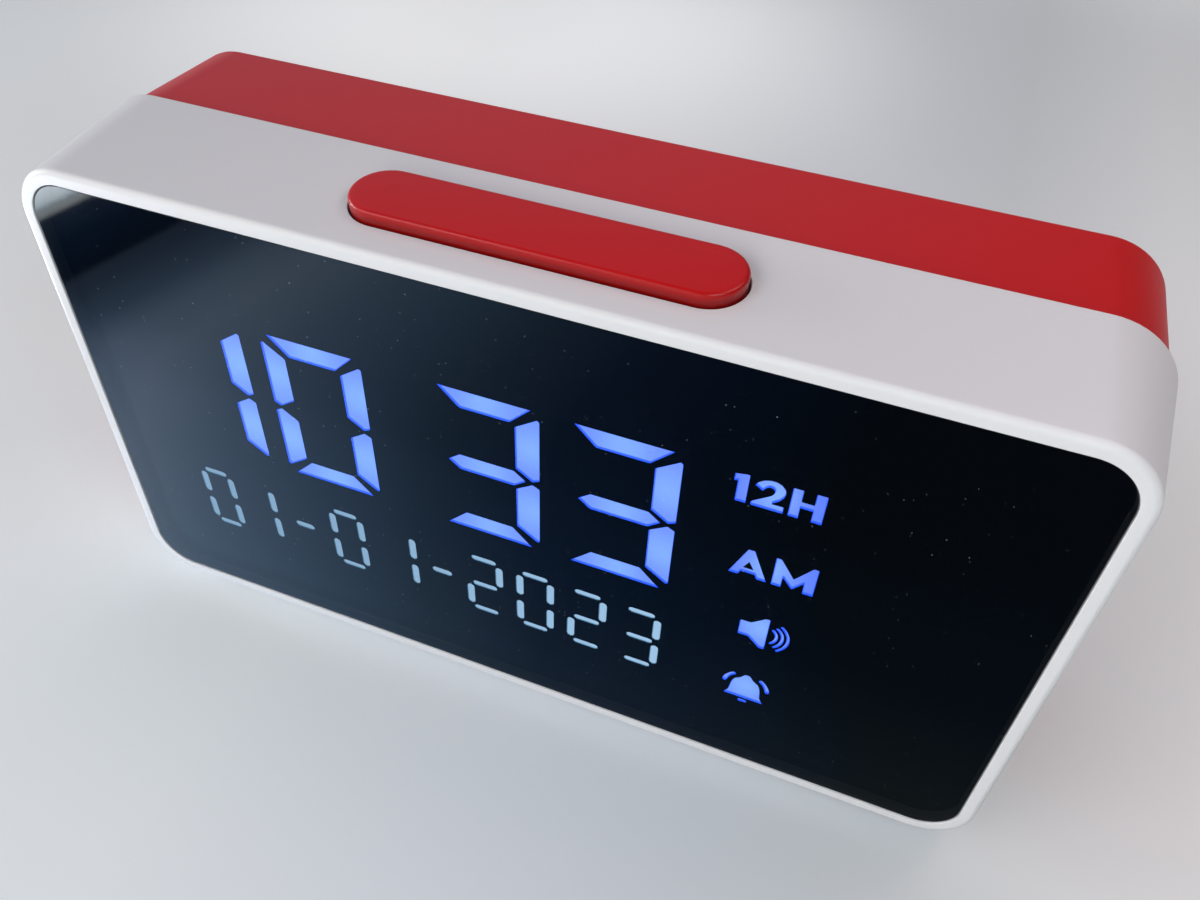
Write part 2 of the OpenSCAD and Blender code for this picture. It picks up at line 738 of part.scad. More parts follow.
// Rear button with a flange that keeps it in the housing and a stem on its switch
module rear_button(i) {
    flange_y = inner_back - 0.3 - cap_flange;
    stem_y = main_back + tact_h + tact_stem;
    color([0.9, 0.9, 0.91]) at_window() translate([button_first_x + i * button_pitch, 0, control_z]) {
        rod(0, flange_y, 0, button_d + 2, cap_flange);
        rod(0, flange_y, 0, button_d, back_y - 0.1 - flange_y - 0.4);
        rod(0, flange_y, 0, button_d - 0.8, back_y - 0.1 - flange_y);
        rod(0, stem_y, 0, 3.6, flange_y - stem_y + eps);
    }
}
module rear_plunger(i) {
    color([0.8, 0.8, 0.76]) at_window()
        rod(button_first_x + i * button_pitch, main_back + tact_h - 0.1, control_z, 3.4, tact_stem + 0.1);
}
module mode_button() { rear_button(0); }
module set_button() { rear_button(1); }
module up_button() { rear_button(2); }
module down_button() { rear_button(3); }
module alarm_button() { rear_button(4); }
module mode_plunger() { rear_plunger(0); }
module set_plunger() { rear_plunger(1); }
module up_plunger() { rear_plunger(2); }
module down_plunger() { rear_plunger(3); }
module alarm_plunger() { rear_plunger(4); }

module voice_switch() {
    color(steel) at_window() translate([slider_x, 0, control_z]) difference() {
        upright(main_back, 3.6) square([slider_travel + 6, 4.4], center = true);
        upright(main_back + 1.4, 5) square([slider_travel + 3, 2.2], center = true);
    }
}
module voice_slider() {
    color([0.9, 0.9, 0.91]) at_window() translate([slider_x - slider_travel / 2, 0, control_z]) {
        upright(main_back + 1.6, strip_y - main_back - 1.4) square([2.2, 1.8], center = true);
        upright(strip_y + 0.1, back_y - strip_y - 0.2) square([4.2, 4.4], center = true);
    }
}

// Turns a profile of radius and depth about the loudspeaker's axis, depth measured towards the front
module speaker_turned(profile) {
    at_window() translate([speaker_x, speaker_face, speaker_z]) rotate([90, 0, 0])
        rotate_extrude() polygon(profile);
}
module speaker_basket() {
    r = speaker_d / 2;
    color(steel) speaker_turned([[r, 0], [r, 1.2], [r - 1.5, 1.2], [11, 6.2], [4.4, 6.2], [4.4, 5.4],
        [10.6, 5.4], [r - 2.8, 0.8], [r - 2.8, 0]]);
}
module speaker_magnet() {
    color([0.35, 0.35, 0.37]) speaker_turned([[0, 6.2], [10, 6.2], [10, 11], [0, 11]]);
}
module speaker_cone() {
    r = speaker_d / 2;
    color([0.12, 0.12, 0.13]) speaker_turned([[0, 1.6], [5, 2.2], [r - 4.6, 0.2], [r - 2.9, 0.2],
        [r - 2.9, 0.6], [r - 4.4, 0.6], [5, 2.8], [4.2, 2.8], [4.2, 5.2], [3.8, 5.2], [3.8, 2.6], [0, 2]]);
}
module speaker_gasket() {
    r = speaker_d / 2;
    color(dark) speaker_turned([[r, -gasket_t], [r, 0], [r - 2.6, 0], [r - 2.6, -gasket_t]]);
}
module speaker_screws() {
    color(steel) at_window() for (turn = [90:120:330])
        translate([speaker_x + speaker_screw_r * cos(turn), speaker_face - 1.2,
            speaker_z + speaker_screw_r * sin(turn)])
            rotate([90, 0, 0]) screw(1.8, 3.2, 5.6, 1);
}
module speaker_leads() {
    color([0.75, 0.12, 0.1]) at_window()
        wire_pair([40, 11.4, 4], [40, 8, 8], [32, 8, 12], [32, 9.7, 16], 2);
}

module battery_door() {
    color(plastic_red) at_window() translate([bay_x, 0, bay_z]) {
        upright(back_y - door_t, door_t) square([door_w, door_h], center = true);
        // Lugs at the top edge reach behind the housing's wall
        for (x = [-1, 1]) translate([x * lug_x - lug_w / 2, 0, 0]) {
            translate([0, back_y - door_t - 2, bay_h / 2 + 0.6]) cube([lug_w, 2 + eps, 1.8]);
            translate([0, back_y - door_t - 2, bay_h / 2 + 0.6]) cube([lug_w, 1, 4.9]);
        }
    }
}

// Which way each cell lies, from the bottom up
function cell_way(i) = i == 1 ? -1 : 1;
module at_cells() {
    for (i = [0:2]) translate([bay_x, cell_y, bay_z + (i - 1) * cell_pitch])
        mirror([cell_way(i) > 0 ? 0 : 1, 0, 0]) children();
}
module batteries() {
    end_x = bay_w / 2 - plate_t - nub_l;
    color([0.2, 0.2, 0.22]) at_window() at_cells() {
        translate([end_x - cell_l, 0, 0]) rotate([0, 90, 0]) cylinder(h = cell_l, d = cell_d);
        translate([end_x - eps, 0, 0]) rotate([0, 90, 0]) cylinder(h = nub_l + eps, d = nub_d);
    }
}
module battery_springs() {
    room = bay_w - 2 * plate_t - nub_l - cell_l;
    turns = 4;
    steps = 12;
    color(steel) at_window() at_cells() translate([-bay_w / 2 + plate_t, 0, 0])
        tube([for (i = [0:turns * steps])
            let(a = 360 * i / steps, part = i / (turns * steps), r = 4 - 1.6 * part)
            [0.3 + (room - 0.6) * part, r * cos(a), r * sin(a)]], 0.25, 6);
}
module battery_plates() {
    color(steel) at_window() at_cells() for (x = [-1, 1])
        translate([x * (bay_w / 2 - plate_t / 2), 0, 0]) cube([plate_t, 9, 9], center = true);
}
module battery_leads() {
    color([0.1, 0.1, 0.1]) at_window()
        wire_pair([-51.5, 12, -4], [-54, 6, 2], [-54, 7, 12], [-50, 9.7, 17], 2);
}

// Flat cable in a low arch between the two boards
module ribbon_cable() {
    header = 2.5;
    from_y = board_y + board_t + header;
    to_y = main_y - header;
    span = to_y - from_y;
    rise = 4;
    r = (span * span / 4 + rise * rise) / (2 * rise);
    color([0.55, 0.57, 0.6]) at_window()
        translate([-26, (from_y + to_y) / 2, 21 - r + rise]) rotate([90, 0, 90]) linear_extrude(12)
            intersection() {
                difference() {
                    circle(r);
                    circle(r - 0.6);
                }
                translate([0, r]) square([span, 2 * rise], center = true);
            }
}
module ribbon_headers() {
    color([0.9, 0.9, 0.88]) at_window() {
        translate([-28, board_y + board_t, 18.5]) cube([16, 2.5, 5]);
        translate([-28, main_y - 2.5, 18.5]) cube([16, 2.5, 5]);
    }
}

front_casing();
display_lens();
lens_tape();
display_reflector();
time_segments_lit();
time_segments_dark();
date_segments_lit();
date_segments_dark();
status_symbols();
display_board();
display_leds();
display_screws();
rear_housing();
case_screws();
rubber_feet();
talk_bar();
talk_bar_springs();
bar_switch_board();
bar_switch();
bar_switch_plunger();
bar_board_screws();
bar_leads();
main_board();
controller_chip();
voice_chip();
crystal();
capacitors();
board_screws();
power_inlet();
rear_switches();
mode_button();
set_button();
up_button();
down_button();
alarm_button();
mode_plunger();
set_plunger();
up_plunger();
down_plunger();
alarm_plunger();
voice_switch();
voice_slider();
speaker_basket();
speaker_magnet();
speaker_cone();
speaker_gasket();
speaker_screws();
speaker_leads();
battery_door();
batteries();
battery_springs();
battery_plates();
battery_leads();
ribbon_cable();
ribbon_headers();
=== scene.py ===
import math
import bmesh
import bpy
import numpy as np
from mathutils import Matrix, Vector
from mathutils.geometry import delaunay_2d_cdt


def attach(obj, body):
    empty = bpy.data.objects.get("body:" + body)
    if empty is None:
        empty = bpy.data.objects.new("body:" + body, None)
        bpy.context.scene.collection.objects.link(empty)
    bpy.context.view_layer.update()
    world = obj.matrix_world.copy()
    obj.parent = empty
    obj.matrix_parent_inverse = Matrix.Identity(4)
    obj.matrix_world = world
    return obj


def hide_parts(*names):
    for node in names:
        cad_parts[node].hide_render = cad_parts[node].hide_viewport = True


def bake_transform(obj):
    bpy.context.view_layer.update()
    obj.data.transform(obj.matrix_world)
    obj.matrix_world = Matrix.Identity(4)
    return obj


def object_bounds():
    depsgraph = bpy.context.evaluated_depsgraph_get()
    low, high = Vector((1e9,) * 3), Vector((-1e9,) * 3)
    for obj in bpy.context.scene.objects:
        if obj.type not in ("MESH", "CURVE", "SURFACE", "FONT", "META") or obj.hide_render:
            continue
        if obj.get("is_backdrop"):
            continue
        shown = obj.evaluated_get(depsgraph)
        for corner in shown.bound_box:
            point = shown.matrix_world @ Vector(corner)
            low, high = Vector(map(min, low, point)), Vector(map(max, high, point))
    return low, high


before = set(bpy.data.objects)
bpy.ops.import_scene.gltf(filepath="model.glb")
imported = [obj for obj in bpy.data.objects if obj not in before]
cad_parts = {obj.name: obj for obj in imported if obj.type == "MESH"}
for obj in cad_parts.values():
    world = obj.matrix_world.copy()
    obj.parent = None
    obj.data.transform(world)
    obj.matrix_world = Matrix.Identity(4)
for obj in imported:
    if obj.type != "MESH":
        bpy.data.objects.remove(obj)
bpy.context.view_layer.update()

# Camera: held close over the right half of the clock, looking down and to the left at it.
# Its place and turn come from a fit to the window, the seam and the rear housing.
scene = bpy.context.scene
scene.view_settings.view_transform = "Standard"
photo_width, focal_pixels, sensor_width = 1200, 999.85, 36
right = Vector((0.932232, 0.359816, 0.038412))
down = Vector((0.272744, -0.628917, -0.728062))
ahead = Vector((-0.23781, 0.6892, -0.684434))
stand = Vector((0.04462, -0.11353, 0.15649))
camera_data = bpy.data.cameras.new("camera")
camera_data.sensor_width = sensor_width
camera_data.lens = focal_pixels / photo_width * sensor_width
camera_data.clip_start = 0.005
camera = bpy.data.objects.new("camera", camera_data)
turn = Matrix((right, -down, -ahead)).transposed()
camera.matrix_world = Matrix.Translation(stand) @ turn.to_4x4()
scene.collection.objects.link(camera)
scene.camera = camera


# Table and light: a smooth pale table under a bright overcast window at the front left, with a weaker
# light at the right. Its brightness wanders a little at random, painted shade makes its colour fall off
# towards the clock's right end, and pools of painted light, seen only by the camera, brighten it behind.
def feed(tree, node, inputs):
    """Sets a node's inputs: to a value, to the first output of a node, or to a named output of a node."""
    for key, value in inputs.items():
        if isinstance(value, bpy.types.Node):
            value = (value, 0)
        if isinstance(value, tuple) and isinstance(value[0], bpy.types.Node):
            tree.links.new(value[0].outputs[value[1]], node.inputs[key])
        else:
            node.inputs[key].default_value = value


def add_node(tree, kind, inputs=None, **settings):
    """Adds a shader node, sets its properties and feeds its inputs."""
    node = tree.nodes.new("ShaderNode" + kind)
    for key, value in settings.items():
        setattr(node, key, value)
    feed(tree, node, inputs or {})
    return node


def calc(tree, operation, *numbers):
    """One sum or comparison of numbers, any of which may be a node's output."""
    return add_node(tree, "Math", dict(enumerate(numbers)), operation=operation)


def scale(tree, colour, factor):
    """A colour times a factor."""
    return add_node(tree, "VectorMath", {0: colour, "Scale": factor}, operation="SCALE")


def between(tree, value, start, end, low=0.0, high=1.0, soft=False):
    """Runs from low to high, and no further, while a value runs from start to end."""
    return add_node(tree, "MapRange", {
        "Value": value, "From Min": start, "From Max": end, "To Min": low, "To Max": high},
        interpolation_type="SMOOTHSTEP" if soft else "LINEAR")


def new_material(name, values):
    """A material whose Principled shader has the given values; returns it, its tree and the shader."""
    material = bpy.data.materials.new(name)
    material.use_nodes = True
    tree = material.node_tree
    shader = tree.nodes["Principled BSDF"]
    feed(tree, shader, values)
    return material, tree, shader


def round_spot(tree, place, centre, reach):
    """Brightness 1 at a place on the table, which falls to 0 over a reach along X and along Y."""
    shift = (-centre[0] / reach[0], -centre[1] / reach[1], 0)
    moved = add_node(tree, "Mapping", {
        "Vector": place, "Location": shift, "Scale": (1 / reach[0], 1 / reach[1], 1)})
    return add_node(tree, "TexGradient", {"Vector": moved}, gradient_type="SPHERICAL"), "Fac"


table, tree, shader = new_material("pale_table", {"Roughness": 0.45, "Specular IOR Level": 0.12})
place = add_node(tree, "TexCoord"), "Object"
axes = add_node(tree, "SeparateXYZ", {"Vector": place})
# Painted shade: the table's base colour runs along X from lighter at the left to darker just right of the
# clock, where its shadow falls, then lighter again.
painted_falloff = between(tree, axes, -0.30, 0.12)
painted_shade_or_dust_tint = add_node(tree, "ValToRGB", {"Fac": painted_falloff})
painted_shade_or_dust_tint.color_ramp.elements[0].color = (0.88, 0.90, 0.92, 1)
painted_shade_or_dust_tint.color_ramp.elements[1].color = (0.86, 0.86, 0.87, 1)
for share, colour in ((0.31, (0.86, 0.87, 0.88)), (0.60, (0.87, 0.90, 0.92)), (0.76, (0.75, 0.78, 0.83)),
                      (0.88, (0.66, 0.69, 0.72))):
    painted_shade_or_dust_tint.color_ramp.elements.new(share).color = (*colour, 1)
cloud = add_node(tree, "TexNoise", {"Vector": place, "Scale": 4.0, "Detail": 2.0})
vary = between(tree, cloud, 0, 1, 0.97, 1.03)
toned = scale(tree, painted_shade_or_dust_tint, vary)
ray = add_node(tree, "LightPath")
# Pools of painted light: emission seen only by the camera brightens the table at the back right and back
# left.
painted_light_pool = round_spot(tree, place, (0.13, 0.36), (0.28, 0.36))
lift = between(tree, painted_light_pool, 0, 0.45, 0.06, 0.16)
far_painted_light_pool = round_spot(tree, place, (-0.15, 0.28), (0.21, 0.19))
far_painted_light_lift = between(tree, far_painted_light_pool, 0, 0.8, 0, 0.28, soft=True)
painted_light_lifts = calc(tree, "ADD", lift, far_painted_light_lift)
seen = calc(tree, "MULTIPLY", (ray, "Is Camera Ray"), painted_light_lifts)
feed(tree, shader, {"Base Color": toned, "Emission Color": (1.0, 0.97, 0.96, 1), "Emission Strength": seen})

# Painted reflection: what the window mirrors of the table is an emission pattern painted on the table for
# glossy rays only, its brightness from far left to right, in metres along X. It paints a lit sheet at the far
# left, then a dark gap, then the daylight on the table, which fades.
painted_reflection_stops = (
    (-0.210, (12.5, 14.0, 15.5)), (-0.203, (8.5, 10.0, 11.0)), (-0.200, (3.8, 4.5, 5.0)),
    (-0.1965, (3.6, 3.9, 4.0)), (-0.194, (0.13, 0.25, 0.50)), (-0.179, (0.025, 0.10, 0.26)),
    (-0.163, (0.015, 0.06, 0.15)), (-0.160, (0.20, 0.34, 0.56)), (-0.154, (0.24, 0.40, 0.69)),
    (-0.141, (0.46, 0.75, 1.24)), (-0.129, (0.98, 1.42, 2.10)), (-0.116, (1.20, 1.66, 2.40)),
    (-0.104, (1.00, 1.48, 2.16)), (-0.091, (0.74, 1.18, 1.83)), (-0.066, (0.43, 0.78, 1.31)),
    (-0.041, (0.20, 0.41, 0.73)), (-0.016, (0.065, 0.17, 0.42)), (0.009, (0.03, 0.11, 0.28)),
    (0.034, (0.02, 0.07, 0.16)), (0.046, (0.025, 0.06, 0.10)))
first, last = painted_reflection_stops[0][0], painted_reflection_stops[-1][0]
depth_axis = (axes, "Y")
slant = calc(tree, "MULTIPLY_ADD", depth_axis, 0.2, 0.022)
across = calc(tree, "ADD", axes, slant)
close = between(tree, depth_axis, -0.075, -0.022, 0, -0.040)
nearer = calc(tree, "ADD", close, across)
run = between(tree, nearer, first, last)
ramp = add_node(tree, "ValToRGB", {"Fac": run})
stops = ramp.color_ramp.elements
for x, colour in painted_reflection_stops[1:-1]:
    stops.new((x - first) / (last - first)).color = (*colour, 1)
stops[0].color = (*painted_reflection_stops[0][1], 1)
stops[len(painted_reflection_stops) - 1].color = (*painted_reflection_stops[-1][1], 1)
fade = between(tree, depth_axis, -0.088, -0.066, 0.80)
dimmed = scale(tree, ramp, fade)
# A painted glint, added to the painted reflection close in front of the clock.
near = between(tree, depth_axis, -0.050, -0.022)
painted_glint = scale(tree, (0.06, 0.07, 0.04), near)
total = add_node(tree, "VectorMath", {0: dimmed, 1: painted_glint}, operation="ADD")
painted_reflection = add_node(tree, "Emission", {"Color": total})
# The painted reflection shows only to glossy rays, in an area in front of the clock.
area = between(tree, round_spot(tree, place, (-0.05, -0.12), (0.30, 0.17)), 0, 0.15, soft=True)
chosen = calc(tree, "MULTIPLY", area, (ray, "Is Glossy Ray"))
both = add_node(tree, "MixShader", {"Fac": chosen, 1: shader, 2: painted_reflection})
distance = add_node(tree, "VectorMath", {0: place}, operation="LENGTH")
beyond = between(tree, (distance, "Value"), 0.36, 0.75, soft=True)
plain = calc(tree, "MULTIPLY", beyond, (ray, "Is Camera Ray"))
room_pale = (0.78, 0.79, 0.80, 1)
backdrop = add_node(tree, "Emission", {"Color": room_pale})
fading = add_node(tree, "MixShader", {"Fac": plain, 1: both, 2: backdrop})
feed(tree, tree.nodes["Material Output"], {"Surface": fading})
sheet = bpy.data.meshes.new("floor")
sheet.from_pydata([(-3, -3, 0), (3, -3, 0), (3, 3, 0), (-3, 3, 0)], [], [(0, 1, 2, 3)])
floor = bpy.data.objects.new("floor", sheet)
scene.collection.objects.link(floor)
floor.data.materials.append(table)
floor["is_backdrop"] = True

# The room: dim walls, brighter at the left and behind. It looks plain and pale where it is seen
# directly or through the window, and in what shines back from low down, except at the right end.
world = bpy.data.worlds.new("room")
world.use_nodes = True
scene.world = world
tree = world.node_tree
way = add_node(tree, "TexCoord"), "Generated"
side = add_node(tree, "VectorMath", {0: way, 1: (-0.76, 0.55, 0.35)}, operation="DOT_PRODUCT")
reach = between(tree, (side, "Value"), 0.35, 0.95, soft=True)
walls = add_node(tree, "Mix", {"Factor": reach, "A": (0.05, 0.05, 0.05, 1), "B": (0.33, 0.38, 0.46, 1)},
                 data_type="RGBA")
ray = add_node(tree, "LightPath")
clear = calc(tree, "MAXIMUM", (ray, "Is Camera Ray"), (ray, "Is Transmission Ray"))
lean = add_node(tree, "SeparateXYZ", {"Vector": way})
low = between(tree, (lean, "Z"), 0.22, 0.0, soft=True)
dusk = between(tree, (lean, "X"), 0.6, -0.1, soft=True)
band = calc(tree, "MULTIPLY", low, dusk)
shine = calc(tree, "MULTIPLY", band, (ray, "Is Glossy Ray"))
shown = calc(tree, "MAXIMUM", clear, shine)
paler = add_node(tree, "Mix", {"Factor": shown, "A": (walls, "Result"), "B": room_pale}, data_type="RGBA")
feed(tree, tree.nodes["Background"], {"Color": (paler, "Result")})


def lamp(name, at, size, power, colour, glossy=True):
    """A soft rectangular lamp at a place, turned towards the clock."""
    data = bpy.data.lights.new(name, "AREA")
    data.shape = "RECTANGLE"
    data.size, data.size_y = size
    data.energy = power
    data.color = colour
    light = bpy.data.objects.new(name, data)
    light.location = at
    light.rotation_euler = (Vector((0, 0, 0.05)) - Vector(at)).to_track_quat("-Z", "Y").to_euler()
    scene.collection.objects.link(light)
    light.visible_camera = False
    light.visible_glossy = glossy


lamp("front_window", (-0.8, -0.95, 0.75), (0.9, 0.7), 7.3, (1.0, 0.93, 0.98))
lamp("front_card", (0.0, -0.8, 0.25), (0.4, 0.3), 2.15, (0.95, 1.0, 0.87), False)
lamp("side_window", (-0.85, -0.14, 0.17), (0.42, 0.17), 3.3, (0.95, 1.0, 0.96))
lamp("right_window", (0.25, -0.25, 0.35), (0.2, 0.2), 0.50, (0.80, 0.94, 1.0))
lamp("desk_lamp", (0.15, 0.05, 0.28), (0.12, 0.12), 0.15, (1.0, 0.75, 0.70))
lamp("room_fill", (0.3, 1.2, 0.14), (0.8, 0.2), 3.2, (1.0, 0.97, 0.95), False)


# Front casing: one white moulding with a satin skin. Its sides spread towards the seam, a seat holds
# the window, and a slot in the top lets the talk bar through. Posts inside take the screws.
mm, mid_z, front_y, seam_y = 0.001, 45.0, -22.0, 0.3
casing_d, flare, wall = 22.3, 2.1, 2.4
flare_angle = math.atan(flare / casing_d)
front_size = (154.8, 84.8, 8.7)


def rounded(w, h, r, turns, at=(0, 0)):
    """Outline of a rounded rectangle, anticlockwise. Each corner is a quarter circle of radius r about
    its own centre with the same number of points, so outlines of any size join point by point."""
    a = np.linspace(0, math.pi / 2, turns + 1)[None, :] + np.arange(4)[:, None] * math.pi / 2
    centres = np.array([[1, 1], [-1, 1], [-1, -1], [1, -1]]) * (w / 2 - r, h / 2 - r)
    outline = centres[:, None, :] + r * np.stack([np.cos(a), np.sin(a)], -1)
    return outline.reshape(-1, 2) + at


def growing(w, h, r, turns, at=(0, 0)):
    """Makes a rounded outline that can be moved outwards by a step, with concentric corners."""
    return lambda step: rounded(w + 2 * step, h + 2 * step, r + step, turns, at)


def disc(r, turns, at=(0, 0)):
    """Outline of a circle of radius r."""
    return rounded(2 * r, 2 * r, r, turns, at)


def upright(outline, y):
    """Stands a flat outline up at depth y, about the window's middle."""
    return np.column_stack([outline[:, 0], np.full(len(outline), float(y)), outline[:, 1] + mid_z])


def skin(rings, closed=False, caps=(False, False)):
    """The surface through a row of closed outlines: point (u, v) is point u of outline v. Closed joins
    the last outline to the first, and a cap closes the first or last outline."""
    rings = np.asarray(rings)
    m, n, _ = rings.shape
    i = np.arange(m if closed else m - 1)[:, None]
    j = np.arange(n)[None, :]
    after = (i + 1) % m
    beside = (j + 1) % n
    corners = [i * n + j, i * n + beside, after * n + beside, after * n + j]
    faces = np.stack(corners, -1).reshape(-1, 4).tolist()
    if caps[0]:
        faces.append(list(range(n)))
    if caps[1]:
        faces.append(list(range((m - 1) * n, m * n)))
    return rings.reshape(-1, 3), faces


def sides(rows, closed=False, caps=(False, False)):
    """The surface through flat outlines, each stood up at its own depth."""
    return skin([upright(outline, y) for outline, y in rows], closed, caps)


def within(points, outline):
    """Which points lie inside an outline, by how often a ray to the right crosses it."""
    a, b = outline, np.roll(outline, -1, axis=0)
    x, y = points[:, :1], points[:, 1:]
    spans = (a[:, 1] > y) != (b[:, 1] > y)
    rise = np.where(b[:, 1] == a[:, 1], 1e-12, b[:, 1] - a[:, 1])
    crossing = a[:, 0] + (y - a[:, 1]) * (b[:, 0] - a[:, 0]) / rise
    return (spans & (x < crossing)).sum(1) % 2 == 1


def plate(outer, holes, lift, extra=None):
    """Flat sheet inside one outline and outside its holes, made of triangles between their points and
    any extra points. lift is the depth it stands at, or puts flat points in space."""
    loops = [outer] + list(holes)
    starts = np.cumsum([0] + [len(loop) for loop in loops])
    edges = [(int(start) + k, int(start) + (k + 1) % len(loop))
             for start, loop in zip(starts, loops) for k in range(len(loop))]
    flat = np.vstack(loops if extra is None else loops + [extra])
    points, _, faces, *_ = delaunay_2d_cdt([Vector(p) for p in flat.tolist()], edges, [], 0, 1e-6)
    points = np.array([tuple(p) for p in points])
    faces = np.array(faces)
    middle = points[faces].mean(1)
    keep = within(middle, outer)
    for hole in holes:
        keep &= ~within(middle, hole)
    return lift(points) if callable(lift) else upright(points, lift), faces[keep].tolist()


def lip(radius, steps=4):
    """Quarter-round edge of a hole: pairs of (how far outside the hole's wall, how far below the face)."""
    t = np.linspace(0, math.pi / 2, steps + 1)
    return list(zip(radius * (1 - np.sin(t)), radius * (1 - np.cos(t))))


def make_piece(name, parts, material, body, nodes, smooth=32, values=None, weighted=True):
    """One object from several surfaces in millimetres. Points that meet are merged, faces point outwards,
    and edges sharper than the smooth angle stay sharp. values is one number for each point."""
    starts = np.cumsum([0] + [len(points) for points, _ in parts])
    points = np.vstack([points for points, _ in parts]) * mm
    faces = [[int(s) + k for k in face] for s, (_, part) in zip(starts, parts) for face in part]
    mesh = bpy.data.meshes.new(name)
    mesh.from_pydata(points.tolist(), [], faces)
    if values is not None:
        layer = mesh.attributes.new("glow_painted_shade_or_zone", "FLOAT", "POINT")
        layer.data.foreach_set("value", np.concatenate(values).astype(np.float32))
    shape = bmesh.new()
    shape.from_mesh(mesh)
    bmesh.ops.remove_doubles(shape, verts=shape.verts, dist=1.5e-6)
    bmesh.ops.dissolve_degenerate(shape, edges=shape.edges, dist=1e-7)
    bmesh.ops.recalc_face_normals(shape, faces=shape.faces)
    shape.to_mesh(mesh)
    shape.free()
    mesh.polygons.foreach_set("use_smooth", [True] * len(mesh.polygons))
    mesh.set_sharp_from_angle(angle=math.radians(smooth))
    made = bpy.data.objects.new(name, mesh)
    scene.collection.objects.link(made)
    made.data.materials.append(material)
    if weighted:
        made.modifiers.new("even_faces", "WEIGHTED_NORMAL").keep_sharp = True
    if body:
        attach(made, body)
    if nodes:
        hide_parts(*nodes)
    return made


def new_group(name, inputs, outputs):
    """An empty shader group with named sockets; returns it with its two end nodes."""
    group = bpy.data.node_groups.new(name, "ShaderNodeTree")
    for label, kind, default in inputs:
        socket = group.interface.new_socket(name=label, in_out="INPUT", socket_type=kind)
        socket.default_value = default
    for label, kind in outputs:
        group.interface.new_socket(name=label, in_out="OUTPUT", socket_type=kind)
    return group, group.nodes.new("NodeGroupInput"), group.nodes.new("NodeGroupOutput")


number, colour_kind, vector_kind = "NodeSocketFloat", "NodeSocketColor", "NodeSocketVector"
moulded, entry, leave = new_group(
    "moulded_skin",
    [("Colour", colour_kind, (0.8, 0.8, 0.8, 1)), ("Roughness", number, 0.4), ("Grain", number, 2500.0),
     ("Depth", number, 0.00002), ("Mottle", number, 0.03)],
    [("Colour", colour_kind), ("Roughness", number), ("Normal", vector_kind)])
place = add_node(moulded, "TexCoord"), "Object"
grain = add_node(moulded, "TexNoise", {
    "Vector": place, "Scale": (entry, "Grain"), "Detail": 2.0, "Roughness": 0.6})
patches = add_node(moulded, "TexNoise", {"Vector": place, "Scale": 38.0, "Detail": 3.0})
bump = add_node(moulded, "Bump", {"Height": grain, "Distance": (entry, "Depth"), "Strength": 0.5})
shift = calc(moulded, "SUBTRACT", patches, 0.5)
amount = calc(moulded, "MULTIPLY", shift, (entry, "Mottle"))
lighten = calc(moulded, "ADD", 1.0, amount)
toned = scale(moulded, (entry, "Colour"), lighten)
fine = calc(moulded, "MULTIPLY", grain, 0.10)
rougher = calc(moulded, "ADD", fine, (entry, "Roughness"))
lower = calc(moulded, "SUBTRACT", rougher, 0.05)
feed(moulded, leave, {"Colour": toned, "Roughness": lower, "Normal": bump})


def coat(tree, shader, group, values):
    """Puts a skin group before a shader, which takes its colour, roughness and surface from it."""
    node = add_node(tree, "Group", node_tree=group)
    feed(tree, node, values)
    feed(tree, shader, {"Base Color": (node, "Colour")})
    feed(tree, shader, {label: (node, label) for label in ("Roughness", "Normal")})


def moulded_plastic(name, colour, roughness, grain_size=2500.0, depth=0.00002, mottle=0.03):
    """Injection-moulded plastic: one colour with faint flow patches under a fine spark-eroded skin."""
    material, tree, shader = new_material(name, {"Roughness": roughness, "IOR": 1.46})
    coat(tree, shader, moulded, {"Colour": (*colour, 1), "Roughness": roughness, "Grain": grain_size,
                                 "Depth": depth, "Mottle": mottle})
    return material


casing_outline = growing(*front_size, 16)


def spread(y):
    """How far the casing's side has spread at depth y."""
    return flare * (y - front_y) / casing_d


bar_back = 10.6
top_origin = np.array([0, front_y + bar_back, mid_z + front_size[1] / 2 + spread(front_y + bar_back)])
top_across = np.array([0, math.cos(flare_angle), math.sin(flare_angle)])
top_out = np.array([0, -math.sin(flare_angle), math.cos(flare_angle)])


def on_top(outline, height):
    """Lays a flat outline on the casing's sloping top, at a height above its outer face."""
    outline = np.asarray(outline, dtype=float)
    return top_origin + outline[:, :1] * (1, 0, 0) + outline[:, 1:2] * top_across + height * top_out


white_plastic = moulded_plastic("casing_white", (0.745, 0.73, 0.76), 0.42)
front_round, seat_step, back_round = 1.0, -2.2, 0.35
inset = front_round * (1 - math.sin(flare_angle)) / math.cos(flare_angle)
arc = np.linspace(0, math.pi / 2 - flare_angle, 9)
profile = [(seat_step + out, front_y + into) for out, into in lip(0.15)[::-1]]
profile += [(-inset + front_round * math.sin(t), front_y + front_round * (1 - math.cos(t))) for t in arc]
slot_rows = (-18.6, -4.4)
profile += [(spread(y), y) for y in slot_rows]
turn_y = seam_y - back_round
turn_step = spread(turn_y) - back_round / math.cos(flare_angle)
arc = np.linspace(-flare_angle, math.pi / 2, 5)
profile += [(turn_step + back_round * math.cos(t), turn_y + back_round * math.sin(t)) for t in arc]
hollow_y, ledge_y = -17.8, -19.5
inner_rows = (seam_y, -3.9, hollow_y + 0.05)
profile += [(spread(y) - wall, y) for y in inner_rows]
opening = rounded(133.6, 64, 3, 16)
rows = [(casing_outline(step), y) for step, y in profile]
rows += [(casing_outline(spread(hollow_y) - wall), hollow_y), (opening, hollow_y), (opening, ledge_y),
         (casing_outline(seat_step), ledge_y)]
points, faces = sides(rows, closed=True)
per_ring = len(opening)
top_column = 16
outer_row, inner_row = ([y for _, y in profile].index(row) for row in (slot_rows[0], inner_rows[1]))


